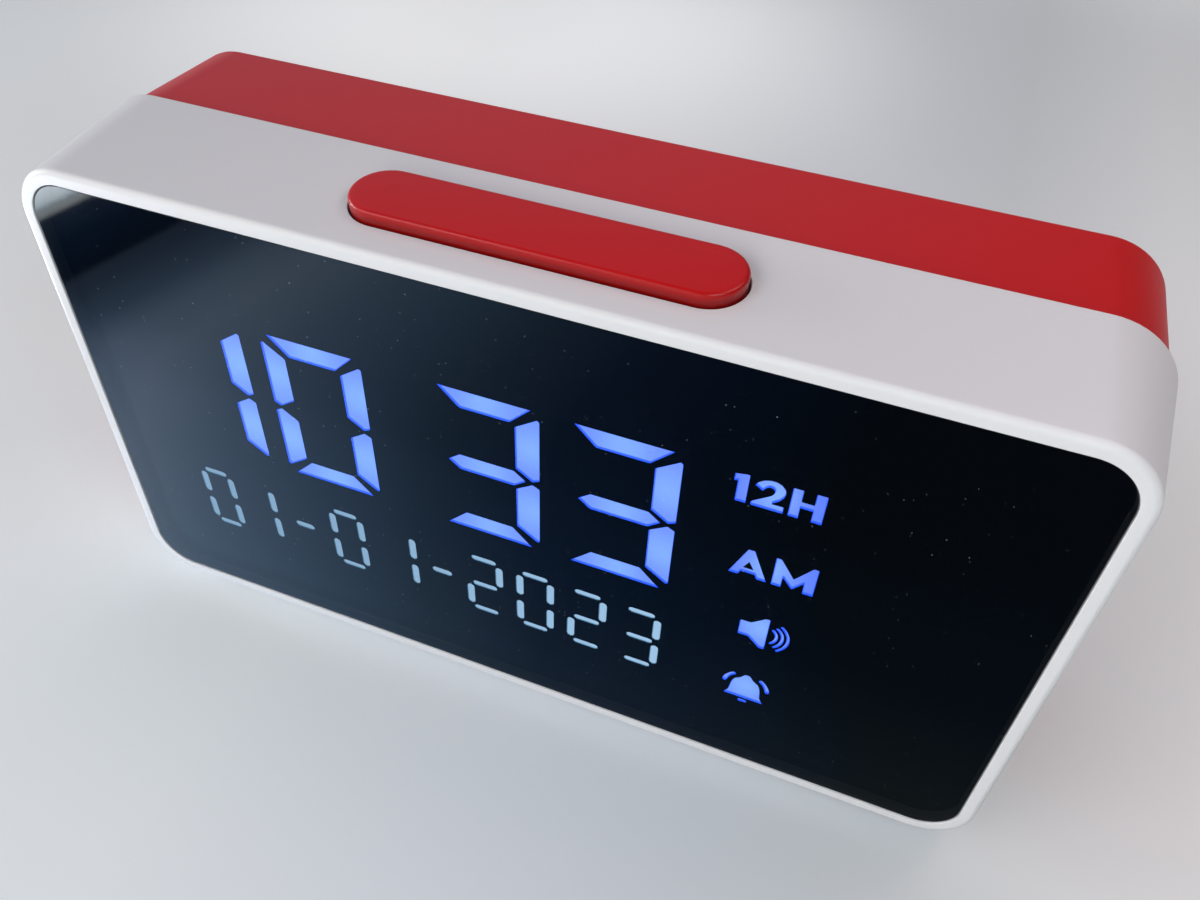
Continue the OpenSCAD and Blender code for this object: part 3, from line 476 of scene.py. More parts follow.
def top_window(row):
    """The four corners of the flat top face between one outline and the next, in the top's own plane."""
    start = row * per_ring + top_column
    corners = points[[start, start + 1, start + per_ring + 1, start + per_ring]] - top_origin
    return np.column_stack([corners[:, 0], corners @ top_across]), float(np.mean(corners @ top_out))


bar_w, bar_gap = 10.4, 0.25
bar_outline = growing(54.5, bar_w, bar_w / 2, 14)
outer_window, _ = top_window(outer_row)
inner_window, inner_height = top_window(inner_row)
dropped = {outer_row * per_ring + top_column, inner_row * per_ring + top_column}
shell = (points, [face for k, face in enumerate(faces) if k not in dropped])
slot_lip = 0.15
parts = [
    shell,
    plate(outer_window, [bar_outline(bar_gap + slot_lip)], lambda p: on_top(p, 0)),
    plate(inner_window, [bar_outline(bar_gap)], lambda p: on_top(p, inner_height)),
    skin([on_top(bar_outline(bar_gap + out), -into) for out, into in lip(slot_lip)]
         + [on_top(bar_outline(bar_gap), inner_height)])]


def turned(profile, at, turns=6, closed=False):
    """A round piece along Y about a place: pairs of (radius, depth) carried round the axis."""
    return sides([(disc(r, turns, at), y) for r, y in profile], closed)


def post(out, hole, root, end, depth):
    """Profile of a screw post: radii of post and hole, then where its root, end and hole's floor lie."""
    return [(out, root), (out, end), (hole, end), (hole, depth), (0, depth), (0, root)]


screws_at = [(x * 68, z * 36.5) for x in (-1, 1) for z in (-1, 1)]
board_screws_at = [(x * 69.3, z * 15) for x in (-1, 1) for z in (-1, 1)]
post_root, case_post_end, board_y, bar_board_top = hollow_y - 0.4, -2.0, -12.3, -8.6
for at, board_at in zip(screws_at, board_screws_at):
    parts.append(turned(post(3.25, 1.5, post_root, case_post_end, -12.5), at, closed=True))
    parts.append(turned(post(2.2, 1, post_root, board_y, board_y - 4.6), board_at, closed=True))
for x in (-32.5, 32.5):
    rows = post(2.5, 0.9, -wall + 0.3, bar_board_top, -4.6)
    parts.append(skin([on_top(disc(r, 6, (x, 0)), h) for r, h in rows], closed=True))
casing = make_piece("casing_shell", parts, white_plastic, "clock", ["front_casing"])


# Display window: a 2 mm plate of smoked acrylic, polished on its face and edge, held in the seat
# by black foam tape. A little dust lies on it.
specks, entry, leave = new_group(
    "dust_specks", [("Scale", number, 400.0), ("Share", number, 0.1), ("Size", number, 0.05)],
    [("Mask", number)])
place = add_node(specks, "TexCoord"), "Object"
cells = add_node(specks, "TexVoronoi", {"Vector": place, "Scale": (entry, "Scale")})
small = calc(specks, "LESS_THAN", (cells, "Distance"), (entry, "Size"))
split = add_node(specks, "SeparateColor", {"Color": (cells, "Color")})
few = calc(specks, "LESS_THAN", (split, "Red"), (entry, "Share"))
both = calc(specks, "MULTIPLY", small, few)
feed(specks, leave, {"Mask": both})
smoked, tree, shader = new_material("smoked_acrylic", {"Roughness": 0.04, "IOR": 1.45, "Alpha": 0.7})
dust = add_node(tree, "Group", node_tree=specks)
feed(tree, dust, {"Scale": 950.0, "Share": 0.35, "Size": 0.055})
painted_shade_or_dust_tint = add_node(tree, "Mix", {
    "Factor": dust, "A": (0.0012, 0.0015, 0.0024, 1), "B": (0.40, 0.44, 0.47, 1)}, data_type="RGBA")
cover = between(tree, dust, 0, 1, 0.7, 0.95)
dull = between(tree, dust, 0, 1, 0.04, 0.6)
feed(tree, shader, {"Base Color": (painted_shade_or_dust_tint, "Result"), "Alpha": cover, "Roughness": dull})
lens_y, lens_t, lens_step = -21.8, 1.96, -2.32
rows = [(lens_step - out, lens_y + into) for out, into in lip(0.1)]
rows += [(lens_step, lens_y + lens_t - 0.1), (lens_step - 0.1, lens_y + lens_t)]
pane = sides([(casing_outline(step), y) for step, y in rows], caps=(True, True))
window = make_piece("display_window", [pane], smoked, "clock", ["display_lens"])


def dress(material, *names):
    """Gives CAD nodes a material in every slot they have."""
    for name in names:
        for material_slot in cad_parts[name].material_slots:
            material_slot.material = material


well_plastic = moulded_plastic("well_plastic", (0.004, 0.005, 0.009), 0.7, depth=0.0)
foam = moulded_plastic("black_foam", (0.012, 0.012, 0.013), 0.85, 900.0, 0.0002, 0.2)
dress(foam, "lens_tape", "speaker_gasket")


# Printed border: a black print on the back of the window's rim, which hides the seat and the tape
# behind the glossy plate.
print_y, print_t = -19.83, 0.02
rim_outline = casing_outline(lens_step - 0.1)
print_hole = rounded(131, 61.4, 2, 16)
ring = sides([(rim_outline, print_y), (print_hole, print_y), (print_hole, print_y + print_t),
              (rim_outline, print_y + print_t)], closed=True)
border = make_piece("printed_border", [ring], well_plastic, "clock", (), 20)


# Light wells: a black moulding behind the window with a hole for each bar and mark. Each hole holds
# a shallow milky tray that glows, brightest over its light and bluer at its walls.
black_plastic = moulded_plastic("black_plastic", (0.006, 0.006, 0.007), 0.55)
unlit = moulded_plastic("unlit_diffuser", (0.005, 0.006, 0.010), 0.7, depth=0.0)
dress(well_plastic, "display_reflector")
dress(unlit, "time_segments_dark", "date_segments_dark")


def soften(outline, reach, steps=3):
    """Rounds each corner with a parabola between the points a reach away from it on its two sides."""
    outline = np.asarray(outline, dtype=float)
    before = np.roll(outline, 1, axis=0) - outline
    after = np.roll(outline, -1, axis=0) - outline
    cut_a = np.minimum(reach / np.linalg.norm(before, axis=1), 0.42)[:, None] * before
    cut_b = np.minimum(reach / np.linalg.norm(after, axis=1), 0.42)[:, None] * after
    t = np.linspace(0, 1, steps + 1)[None, :, None]
    curve = outline[:, None, :] + (1 - t) ** 2 * cut_a[:, None, :] + t ** 2 * cut_b[:, None, :]
    return curve.reshape(-1, 2)


def refine(outline, step):
    """Adds points along an outline's sides so that none is longer than about a step."""
    pieces = []
    for a, b in zip(outline, np.roll(outline, -1, axis=0)):
        count = max(1, int(math.ceil(np.linalg.norm(b - a) / step)))
        pieces.append(a + np.linspace(0, 1, count, endpoint=False)[:, None] * (b - a))
    return np.vstack(pieces)


def shrink(outline, step):
    """Moves each point of an anticlockwise outline inwards, square to the line through its neighbours."""
    along = np.roll(outline, -1, axis=0) - np.roll(outline, 1, axis=0)
    inwards = np.column_stack([-along[:, 1], along[:, 0]]) / np.linalg.norm(along, axis=1)[:, None]
    return outline + step * inwards


def edge_distance(points, outline):
    """Shortest distance from each point to an outline."""
    a, b = outline[None], np.roll(outline, -1, axis=0)[None]
    p = points[:, None]
    t = np.clip(((p - a) * (b - a)).sum(-1) / np.maximum(((b - a) ** 2).sum(-1), 1e-12), 0, 1)
    return np.linalg.norm(p - a - t[..., None] * (b - a), axis=-1).min(1)


reflector_y, tray_back = -19.6, -17.6


def tray(outline, step, round_off, centre, reach, low=0.70, depth=0.35):
    """Shallow glowing tray: a floor below a thin rim, and a body behind it. glow is 0 on the outside, low
    on the rim's inner wall, and on the floor it rises to 1 with nearness to the centre, over the reach."""
    outer = refine(soften(outline, round_off), step)
    area = np.sum(outer[:, 0] * np.roll(outer[:, 1], -1) - np.roll(outer[:, 0], -1) * outer[:, 1])
    outer = outer if area > 0 else outer[::-1]
    inner = shrink(outer, 0.03)
    bed_edge = shrink(outer, 0.17)
    start, end = inner.min(0), inner.max(0)
    grid = np.meshgrid(np.arange(start[0], end[0], step), np.arange(start[1], end[1], step))
    grid = np.stack(grid, -1).reshape(-1, 2)
    grid = grid[within(grid, bed_edge)]
    grid = grid[edge_distance(grid, bed_edge) > step * 0.45]
    floor_y = reflector_y + depth
    bed = plate(bed_edge, [], floor_y, grid)

    def brightness(flat):
        away = np.linalg.norm(flat - centre, axis=1) / reach
        return low + (1 - low) * np.exp(-away ** 2)

    rim_y = reflector_y + 0.02
    rim = sides([(bed_edge, floor_y), (inner, floor_y), (inner, rim_y), (outer, rim_y), (outer, tray_back)])
    n = len(inner)
    rim_glow = np.concatenate([brightness(bed_edge), np.repeat((0.20, 0.14, 0.10, 0.0), n)])
    rear = plate(outer, [], tray_back)
    return [bed, rim, rear], [brightness(bed[0][:, [0, 2]] - (0, mid_z)), rim_glow, np.zeros(len(rear[0]))]


digit_h, digit_w, digit_bar, cross_bar = 28.2, 17.0, 3.8, 3.3
digit_pitch, colon_gap, time_right, time_bottom, mitre_gap = 20.8, 7.2, 24.0, -6.5, 0.55
figures = {0: (0, 1, 2, 3, 4, 5), 1: (1, 2), 2: (0, 1, 3, 4, 6), 3: (0, 1, 2, 3, 6)}
half_digit = digit_h / 2
upright_l = half_digit - 1.5 - mitre_gap / 2
tip = cross_bar / 2
post_bar = np.array([
    [0, tip * 0.35], [digit_bar * 0.3, 0], [digit_bar, tip * 1.1], [digit_bar, upright_l - 2.4],
    [digit_bar * 0.1, upright_l], [0, upright_l - 0.3]])
foot_in = 1.3
foot_bar = np.array([[foot_in, 0], [digit_w - foot_in, 0], [digit_w - foot_in - cross_bar, cross_bar],
                     [foot_in + cross_bar, cross_bar]])
bar_half, bar_flat = digit_w / 2 - 2.2, cross_bar * 0.46
flat_half = bar_half - 1.9
middle_bar = np.array([[-bar_half, 0], [-flat_half, -bar_flat], [flat_half, -bar_flat], [bar_half, 0],
                       [flat_half, bar_flat], [-flat_half, bar_flat]])
time_bars = {
    0: foot_bar * (1, -1) + (0, digit_h), 3: foot_bar, 6: middle_bar + (digit_w / 2, half_digit),
    5: post_bar + (0, half_digit + mitre_gap / 2), 4: post_bar * (1, -1) + (0, half_digit - mitre_gap / 2),
    1: post_bar * (-1, 1) + (digit_w, half_digit + mitre_gap / 2),
    2: post_bar * (-1, -1) + (digit_w, half_digit - mitre_gap / 2)}
time_trays = []
for place_number, figure in enumerate((1, 0, 3, 3)):
    left = time_right - digit_w - (3 - place_number) * digit_pitch - (colon_gap if place_number < 2 else 0)
    for which in figures[figure]:
        outline = time_bars[which] + (left, time_bottom)
        time_trays.append(tray(outline, 0.6, 0.14, outline.mean(0), 4.2))


def glowing(name, wall_colour, edge_colour, heart_colour, strength):
    """Milky plastic lit from behind: its emission runs from the wall's colour to the heart's."""
    material, tree, shader = new_material(name, {
        "Base Color": (*edge_colour, 1), "Roughness": 0.5, "Emission Strength": strength})
    amount = add_node(tree, "Attribute", attribute_name="glow_painted_shade_or_zone")
    ramp = add_node(tree, "ValToRGB", {"Fac": (amount, "Fac")})
    ramp.color_ramp.elements[0].color = (0, 0, 0, 1)
    ramp.color_ramp.elements[1].color = (*heart_colour, 1)
    ramp.color_ramp.elements.new(0.12).color = (*wall_colour, 1)
    ramp.color_ramp.elements.new(0.7).color = (*edge_colour, 1)
    place = add_node(tree, "TexCoord"), "Object"
    haze = add_node(tree, "TexNoise", {"Vector": place, "Scale": 260.0, "Detail": 1.0})
    vary = between(tree, haze, 0, 1, 0.94, 1.06)
    scaled = scale(tree, ramp, vary)
    feed(tree, shader, {"Emission Color": scaled})
    return material


lit_blue = glowing("lit_blue", (0.005, 0.06, 0.55), (0.15, 0.26, 0.92), (0.215, 0.40, 1.0), 12.0)
lit_pale = glowing("lit_pale", (0.03, 0.08, 0.11), (0.18, 0.30, 0.43), (0.315, 0.505, 0.72), 12.0)


def lit_piece(name, trays, material, node):
    """One piece from several trays, each a pair of its surfaces and their brightness."""
    parts = [part for made, _ in trays for part in made]
    glows = [value for _, glow_painted_shade_or_zone in trays for value in glow_painted_shade_or_zone]
    return make_piece(name, parts, material, "clock", [node], 20, glows, False)


time_marks = lit_piece("time_bars", time_trays, lit_blue, "time_segments_lit")

date_h, date_w, date_bottom = 12.9, 5.4, -26.5
date_places = (-58.6, -50.3, -41.6, -32.7, -22.8, -14.8, -6.8, 2.3, 11.4, 20.5)
date_figures = (0, 1, None, 0, 1, None, 2, 0, 2, 3)
flat_bar = rounded(4.5, 1.15, 0.57, 4)
tall_bar = rounded(1.4, 5.0, 0.69, 4)
date_bars = {
    0: flat_bar + (0, date_h / 2), 3: flat_bar - (0, date_h / 2), 6: flat_bar,
    1: tall_bar + (date_w / 2, date_h / 4), 2: tall_bar + (date_w / 2, -date_h / 4),
    4: tall_bar + (-date_w / 2, -date_h / 4), 5: tall_bar + (-date_w / 2, date_h / 4)}
date_trays = []
for x, figure in zip(date_places, date_figures):
    bars = [rounded(3.8, 1.3, 0.64, 4)] if figure is None else [date_bars[which] for which in figures[figure]]
    for outline in bars:
        at = (x, date_bottom + date_h / 2)
        date_trays.append(tray(outline + at, 0.5, 0.05, (30.0, -20.0), 60.0, 0.66, 0.12))
date_marks = lit_piece("date_bars", date_trays, lit_pale, "date_segments_lit")


def polar(angle, r):
    """Points at a distance r from the origin, at each angle."""
    return r * np.column_stack([np.cos(angle), np.sin(angle)])


def arc_bar(centre, radius, width, start, end):
    """Outline of a bar that follows a circle between two angles in degrees, with half-round ends."""
    first, last = math.radians(start), math.radians(end)
    along = np.linspace(first, last, 11)
    cap = np.linspace(0, math.pi, 7)[1:-1]
    half = width / 2
    far_end = polar([last], radius) + polar(last + cap, half)
    near_end = polar([first], radius) + polar(first + math.pi + cap, half)
    outer, inner = polar(along, radius + half), polar(along, radius - half)
    return np.vstack([outer, far_end, inner[::-1], near_end]) + centre


bell_at, wave_at = np.array([38.6, -23.6]), np.array([39.3, -9.25])
half_bell = np.array([[41.8, -26.6], [41.6, -26.1], [41.15, -25.3], [41.05, -24.0], [40.85, -22.9],
                      [40.5, -22.0], [39.6, -21.3], [39.25, -20.75], [38.9, -20.35]])
other_half = (half_bell * (-1, 1) + (2 * bell_at[0], 0))[::-1]
bell = np.vstack([other_half[-1:], half_bell, other_half[:-1]])
marks = [(np.array(outline), round_off, centre) for outline, round_off, centre in (
    ([[31.45, 16.3], [32.95, 16.3], [32.95, 21.5], [32.5, 21.5], [30.95, 21.2], [30.95, 19.85],
      [31.45, 19.95]], 0.04, (36.5, 19)),
    ([[33.6, 16.3], [38.0, 16.3], [38.0, 17.55], [36.3, 17.55], [37.3, 18.4], [37.8, 19.2], [37.95, 20.0],
      [37.75, 20.7], [37.2, 21.3], [36.5, 21.6], [35.7, 21.6], [34.9, 21.35], [34.2, 20.8], [33.75, 20.1],
      [34.9, 19.35], [35.2, 19.95], [35.6, 20.3], [36.1, 20.3], [36.45, 19.95], [36.45, 19.45], [36.1, 18.95],
      [35.2, 18.25], [34.2, 17.5], [33.6, 17.0]], 0.16, (36.5, 19)),
    ([[38.65, 16.3], [40.05, 16.3], [40.05, 18.25], [41.75, 18.25], [41.75, 16.3], [43.2, 16.3], [43.2, 21.5],
      [41.75, 21.5], [41.75, 19.45], [40.05, 19.45], [40.05, 21.5], [38.65, 21.5]], 0.04, (36.5, 19)),
    ([[32.4, 2.15], [33.8, 2.15], [34.15, 2.95], [36.2, 2.95], [36.55, 2.15], [38.0, 2.15], [35.6, 7.8],
      [34.7, 7.8]], 0.07, (38, 5)),
    ([[38.65, 2.15], [40.05, 2.15], [40.1, 4.2], [41.6, 2.35], [43.1, 4.2], [43.15, 2.15], [44.65, 2.15],
      [44.65, 7.8], [43.9, 7.8], [41.6, 4.55], [39.4, 7.8], [38.65, 7.8]], 0.07, (38, 5)),
    ([[35.6, -10.85], [37.25, -10.85], [39.1, -12.75], [39.95, -12.75], [39.95, -5.55], [39.3, -5.55],
      [37.25, -7.4], [35.6, -7.4]], 0.25, (39, -8.5)),
    (bell, 0.16, bell_at), (rounded(1.5, 0.75, 0.36, 4) + (38.6, -27.3), 0.05, bell_at),
    *[(arc_bar(bell_at, 3.5, 0.75, start, start + 43), 0.02, bell_at) for start in (8, 129)],
    *[(arc_bar(wave_at, r, 0.5, -48, 48), 0.02, (39, -8.5)) for r in (2.05, 2.95, 3.8)])]
mark_trays = [tray(outline, 0.45, round_off, centre, 4.2, 0.5) for outline, round_off, centre in marks]
status = lit_piece("status_marks", mark_trays, lit_blue, "status_symbols")

foil_y, foil_t = -19.66, 0.05
windows = [refine(soften(outline, round_off), 0.45) for outline, round_off, _ in marks]
parts = []
for at, w, h in (((37.15, 18.95), 14.1, 6.8), ((38.5, 4.85), 14.1, 7.2), ((39.4, -9.2), 9.6, 8.8),
                 ((38.6, -24.1), 9.2, 8.4)):
    sheet = rounded(w, h, 0.3, 4, at)
    cut = [outline for outline in windows if within(outline.mean(0)[None], sheet)[0]]
    parts += [plate(sheet, cut, foil_y), plate(sheet, cut, foil_y + foil_t)]
    parts += [sides([(edge, foil_y), (edge, foil_y + foil_t)]) for edge in [sheet] + cut]
counter = np.array([[34.4, 3.95], [35.9, 3.95], [35.15, 5.35]])
parts.append(sides([(counter, foil_y), (counter, foil_y + foil_t)], caps=(True, True)))
foil = make_piece("mark_foil", parts, well_plastic, "clock", (), 20)


# Talk bar: a red pressing bar with round ends and a softly rounded top edge. It stands 2 mm proud of
# the slot, painted shade darkens its sides towards it, and a flange under the casing's skin keeps it in.
bar_red, tree, shader = new_material("bar_red", {
    "Roughness": 0.30, "Specular IOR Level": 0.38, "Subsurface Weight": 0.08,
    "Subsurface Radius": (1.0, 0.12, 0.08), "Subsurface Scale": 0.0012})
# Painted shade: the per-point attribute blends the top's red into a darker red on the sides.
painted_shade_amount = add_node(tree, "Attribute", attribute_name="glow_painted_shade_or_zone")
painted_shade_tint = add_node(tree, "Mix", {
    "Factor": (painted_shade_amount, "Fac"), "A": (0.56, 0.005, 0.007, 1),
    "B": (0.20, 0.001, 0.001, 1)}, data_type="RGBA")
coat(tree, shader, moulded, {"Colour": (painted_shade_tint, "Result"), "Roughness": 0.30})
bar_h, bar_under, bar_round = 2.0, -3.8, 0.6
rows = [(-bar_w / 2, bar_h, 0), (-3.9, bar_h - 0.01, 0), (-2.6, bar_h - 0.03, 0), (-1.5, bar_h - 0.06, 0)]
rows += [(-out, bar_h - 0.08 - into, 0.5 * (1 - out / bar_round)) for out, into in lip(bar_round, 7)]
flange, flange_top = 1.4, bar_under + 1.2
rows += [(0, 0.7, 0.85), (0, -0.2, 1), (0, flange_top, 0), (flange, flange_top, 0), (flange, bar_under, 0),
         (-bar_w / 2, bar_under, 0)]
surface = skin([on_top(bar_outline(step), height) for step, height, _ in rows])
# Amount of painted shade at each point: 0 on the top, rising over the rounding, 1 on the side near the slot.
glow_painted_shade_or_zone = np.repeat([value for _, _, value in rows], len(bar_outline(0)))
talk_bar = make_piece("talk_bar_cap", [surface], bar_red, "talk_bar", ["talk_bar"], 40, [glow_painted_shade_or_zone])


# Rear housing: one red moulding with the same satin skin. Its back carries a sunken strip for the
# controls, the battery bay, the loudspeaker's grille and four deep wells for the case screws.
red_plastic = moulded_plastic("housing_red", (0.59, 0.005, 0.008), 0.40, 2300.0, 0.00003, 0.05)
rear_outline = growing(157.4, 87.4, 10.0, 16)
back_y, inner_back, rear_round, tongue_step = 22.0, 19.6, 1.5, -2.125
strip_y, bay_floor = 21.0, 9.2
bay_at, speaker_at = (-22, -13), (46, -11)
control_z = 25.0


def hole_wall(hole, top, rim, bottom):
    """The wall of a hole from its lip in the face at depth top down to depth bottom."""
    return sides([(hole(out), top - into) for out, into in lip(rim, 3)] + [(hole(0), bottom)])


strip = growing(86, 12, 6, 8, (-1, control_z))
inlet = growing(9.6, 3.9, 1.95, 8, (-50, control_z))
recess = growing(57.6, 41.6, 1.3, 4, bay_at)
buttons_at = [(-36 + 14 * k, control_z) for k in range(5)]
button_holes = [growing(8.5, 8.5, 4.25, 7, at) for at in buttons_at]
slider_hole = growing(7, 2.6, 0.5, 4, (34, control_z))
pitch, row_pitch = 3.8, 3.8 * math.sin(math.radians(60))
grille = [growing(1.8, 1.8, 0.9, 4, (speaker_at[0] + pitch * (i + j / 2), speaker_at[1] + row_pitch * j))
          for i in range(-3, 4) for j in range(-3, 4) if abs(i + j) < 4]

rows = [(-out, back_y - into) for out, into in lip(rear_round, 7)]
rows += [(0, seam_y + 0.25), (-0.25, seam_y), (tongue_step, seam_y), (tongue_step, seam_y - 3.6),
         (tongue_step - 0.4, seam_y - 4), (tongue_step - 1.5, seam_y - 4), (tongue_step - 1.5, 3.3),
         (-wall, 3.3), (-wall, inner_back)]
strip_rim, inlet_rim, recess_rim, well_rim, grille_rim, small_rim = 0.4, 0.5, 0.35, 0.4, 0.25, 0.25
well_r, well_outside = 3, 4.2
bay_w, bay_h, bay_wall, recess_y = 50, 35, 1.6, 20.2
lug_x, notch_half, notch_wall, notch_mouth, notch_reach, notch_y = 15, 4.4, 1.2, 2.9, 5.6, 16.6


def bay_outline(out, r, reach, half=notch_half):
    """The battery bay's outline moved outwards, with a notch for each lug of the door above its top side."""
    corners = rounded(bay_w + 2 * out, bay_h + 2 * out, r, 4)
    notches = [(x + side * half, bay_h / 2 + out + up) for x in (lug_x, -lug_x)
               for side, up in ((1, 0), (1, reach), (-1, reach), (-1, 0))]
    return np.vstack([corners[:5], notches, corners[5:]]) + bay_at


bay_rim = 0.3
bay_mouth = bay_outline(bay_rim, 1.3, notch_mouth - bay_rim)
bay_outside = bay_outline(bay_wall, 2.0, notch_reach + notch_wall - bay_wall, notch_half + notch_wall)
bay_shell = bay_outline(bay_wall, 2.0, 0, notch_half + notch_wall)
bay_rows = [(bay_mouth, recess_y)]
bay_rows += [(bay_outline(0, 1.0, reach), y) for reach, y in (
    (notch_mouth, recess_y - bay_rim), (notch_reach, recess_y - bay_rim), (notch_reach, notch_y),
    (0, notch_y), (0, bay_floor + 0.6))]
bay_rows.append((bay_outline(-0.5, 0.6, 0), bay_floor))
parts = [
    sides([(rear_outline(step), y) for step, y in rows]),
    plate(rear_outline(-rear_round),
          [strip(strip_rim), inlet(inlet_rim), recess(recess_rim)] + [hole(grille_rim) for hole in grille]
          + [disc(well_r + well_rim, 7, at) for at in screws_at], back_y),
    plate(rear_outline(-wall),
          [inlet(0), slider_hole(0), bay_outside] + [hole(0) for hole in button_holes + grille]
          + [disc(well_outside, 7, at) for at in screws_at], inner_back),
    sides([(strip(out), back_y - into) for out, into in lip(strip_rim)]
          + [(strip(0), strip_y + 0.2), (strip(-0.2), strip_y)]),
    plate(strip(-0.2), [slider_hole(small_rim)] + [hole(small_rim) for hole in button_holes], strip_y),
    hole_wall(inlet, back_y, inlet_rim, inner_back),
    hole_wall(slider_hole, strip_y, small_rim, inner_back),
    sides([(recess(out), back_y - into) for out, into in lip(recess_rim)]
          + [(recess(0), recess_y + 0.15), (recess(-0.15), recess_y)]),
    plate(recess(-0.15), [bay_mouth], recess_y),
    sides(bay_rows, caps=(False, True)),
    sides([(bay_outside, inner_back), (bay_outside, notch_y - notch_wall), (bay_shell, notch_y - notch_wall),
           (bay_shell, bay_floor - bay_wall)], caps=(False, True))]
parts += [hole_wall(hole, strip_y, small_rim, inner_back) for hole in button_holes]
parts += [hole_wall(hole, back_y, grille_rim, inner_back) for hole in grille]
rows = [(well_r + out, back_y - into) for out, into in lip(well_rim, 3)]
rows += [(well_r, 1.0), (1.7, 1.0), (1.7, case_post_end), (well_outside, case_post_end),
         (well_outside, inner_back)]
parts += [turned(rows, at, 7) for at in screws_at]
housing = make_piece("housing_shell", parts, red_plastic, "clock", ["rear_housing"])


# Case screws and feet: zinc-plated cross-head screws deep in their wells, and four soft black pads
# pressed into pockets under the two housings.
metal_skin, entry, leave = new_group(
    "drawn_metal",
    [("Colour", colour_kind, (0.6, 0.6, 0.62, 1)), ("Roughness", number, 0.3), ("Scale", number, 900.0)],
    [("Colour", colour_kind), ("Roughness", number), ("Normal", vector_kind)])
place = add_node(metal_skin, "TexCoord"), "Object"
scratches = add_node(metal_skin, "TexNoise", {
    "Vector": place, "Scale": (entry, "Scale"), "Detail": 4.0, "Roughness": 0.7})
bump = add_node(metal_skin, "Bump", {"Height": scratches, "Strength": 0.3, "Distance": 0.00001})
stain = add_node(metal_skin, "TexNoise", {"Vector": place, "Scale": 120.0, "Detail": 2.0})
span = between(metal_skin, stain, 0, 1, 0.86, 1.08)
toned = scale(metal_skin, (entry, "Colour"), span)
rough_span = between(metal_skin, scratches, 0, 1, -0.06, 0.1)
rougher = calc(metal_skin, "ADD", rough_span, (entry, "Roughness"))
feed(metal_skin, leave, {"Colour": toned, "Roughness": rougher, "Normal": bump})


def metal(name, colour, roughness, scale=900.0):
    """Bare or plated metal with faint stains and drawing marks."""
    material, tree, shader = new_material(name, {"Metallic": 1.0, "Roughness": roughness})
    coat(tree, shader, metal_skin, {"Colour": (*colour, 1), "Roughness": roughness, "Scale": scale})
    return material


zinc = metal("zinc_plate", (0.62, 0.63, 0.66), 0.30)
dress(zinc, "case_screws", "display_screws", "bar_board_screws", "board_screws", "speaker_screws")
rubber = moulded_plastic("soft_rubber", (0.014, 0.014, 0.015), 0.75, 1200.0, 0.00006, 0.15)


def lying(outline, z):
    """Lays a flat outline down at height z over the table."""
    return np.column_stack([outline[:, 0], outline[:, 1], np.full(len(outline), float(z))])


parts = []
for x in (-62, 62):
    for y, top in ((-14, 2.5), (14, 1.9)):
        rows = [(0, 0.15), (2.4, 0.15), (2.7, 0.0), (3.5, 0.0)]
        rows += [(3.5 + 0.5 * math.sin(t), 0.5 - 0.5 * math.cos(t)) for t in np.linspace(0.3, math.pi / 2, 5)]
        rows += [(4.0, top), (0, top)]
        parts.append(skin([lying(disc(r, 8, (x, y)), z) for r, z in rows]))
feet = make_piece("foot_pads", parts, rubber, "clock", ["rubber_feet"])


# Controls: five light-grey push buttons with dished caps, each held by a flange behind the strip, and
# a ribbed voice switch that slides sideways. A small sign printed on each cap tells them apart.
grey_plastic = moulded_plastic("button_grey", (0.62, 0.62, 0.64), 0.38)
sign_ink = moulded_plastic("sign_ink", (0.045, 0.047, 0.052), 0.5, depth=0.0)
arrow = np.array([[-1.6, -1.0], [1.6, -1.0], [0, 1.6]])
signs = {
    "mode": rounded(2.6, 2.6, 0.5, 4), "set": rounded(2.6, 2.6, 1.29, 6), "up": arrow,
    "down": (arrow * (1, -1))[[0, 2, 1]], "alarm": (bell - bell_at) * 0.55}
for at, (label, sign) in zip(buttons_at, signs.items()):
    rows = [(0, 21.58), (1.8, 21.60), (2.7, 21.68), (3.2, 21.82)]
    rows += [(4.0 - out, 21.9 - into) for out, into in lip(0.5, 5)]
    rows += [(4.0, 19.3), (5.0, 19.3), (5.0, 18.1), (1.8, 18.1), (1.8, 16.9), (0, 16.9)]
    cap = turned(rows, at, 8)
    sign = refine(soften(sign, 0.25, 2), 0.5)
    button = make_piece(label + "_cap", [cap], grey_plastic, label + "_button", [label + "_button"], 40)
    ink = sides([(sign + at, 21.5), (sign + at, 21.64), (sign * 0.97 + at, 21.66)], caps=(True, True))
    printed = make_piece(label + "_sign", [ink], sign_ink, label + "_button", (), 40)
knob_at = (32, control_z)


def block(w, h, r, at, rows, turns=4):
    """A solid rounded box along Y: each row moves its outline outwards at a depth."""
    outline = growing(w, h, r, turns, at)
    return sides([(outline(out), y) for out, y in rows], caps=(True, True))


rib_rows = ((0, 21.55), (0, 21.72), (-0.08, 21.84), (-0.2, 21.9))
knob = [block(2.2, 1.8, 0.2, knob_at, ((0, 13.6), (0, 21.2)), 3),
        block(4.2, 4.4, 0.6, knob_at, ((-0.1, 21.1), (0, 21.18), (0, 21.5), (-0.07, 21.58), (-0.2, 21.62)))]
knob += [block(0.62, 3.4, 0.3, (knob_at[0] + x, knob_at[1]), rib_rows) for x in (-1.2, 0, 1.2)]
slider = make_piece("voice_knob", knob, grey_plastic, "voice_slider", ["voice_slider"], 40)
ivory = moulded_plastic("ivory_plunger", (0.55, 0.53, 0.44), 0.45)
dress(ivory, "bar_switch_plunger", *[label + "_plunger" for label in signs])
dress(black_plastic, "bar_switch", "rear_switches", "controller_chip", "voice_chip")
nickel = metal("nickel_plate", (0.66, 0.64, 0.60), 0.26)
dress(nickel, "power_inlet", "voice_switch", "crystal", "speaker_basket", "battery_plates")


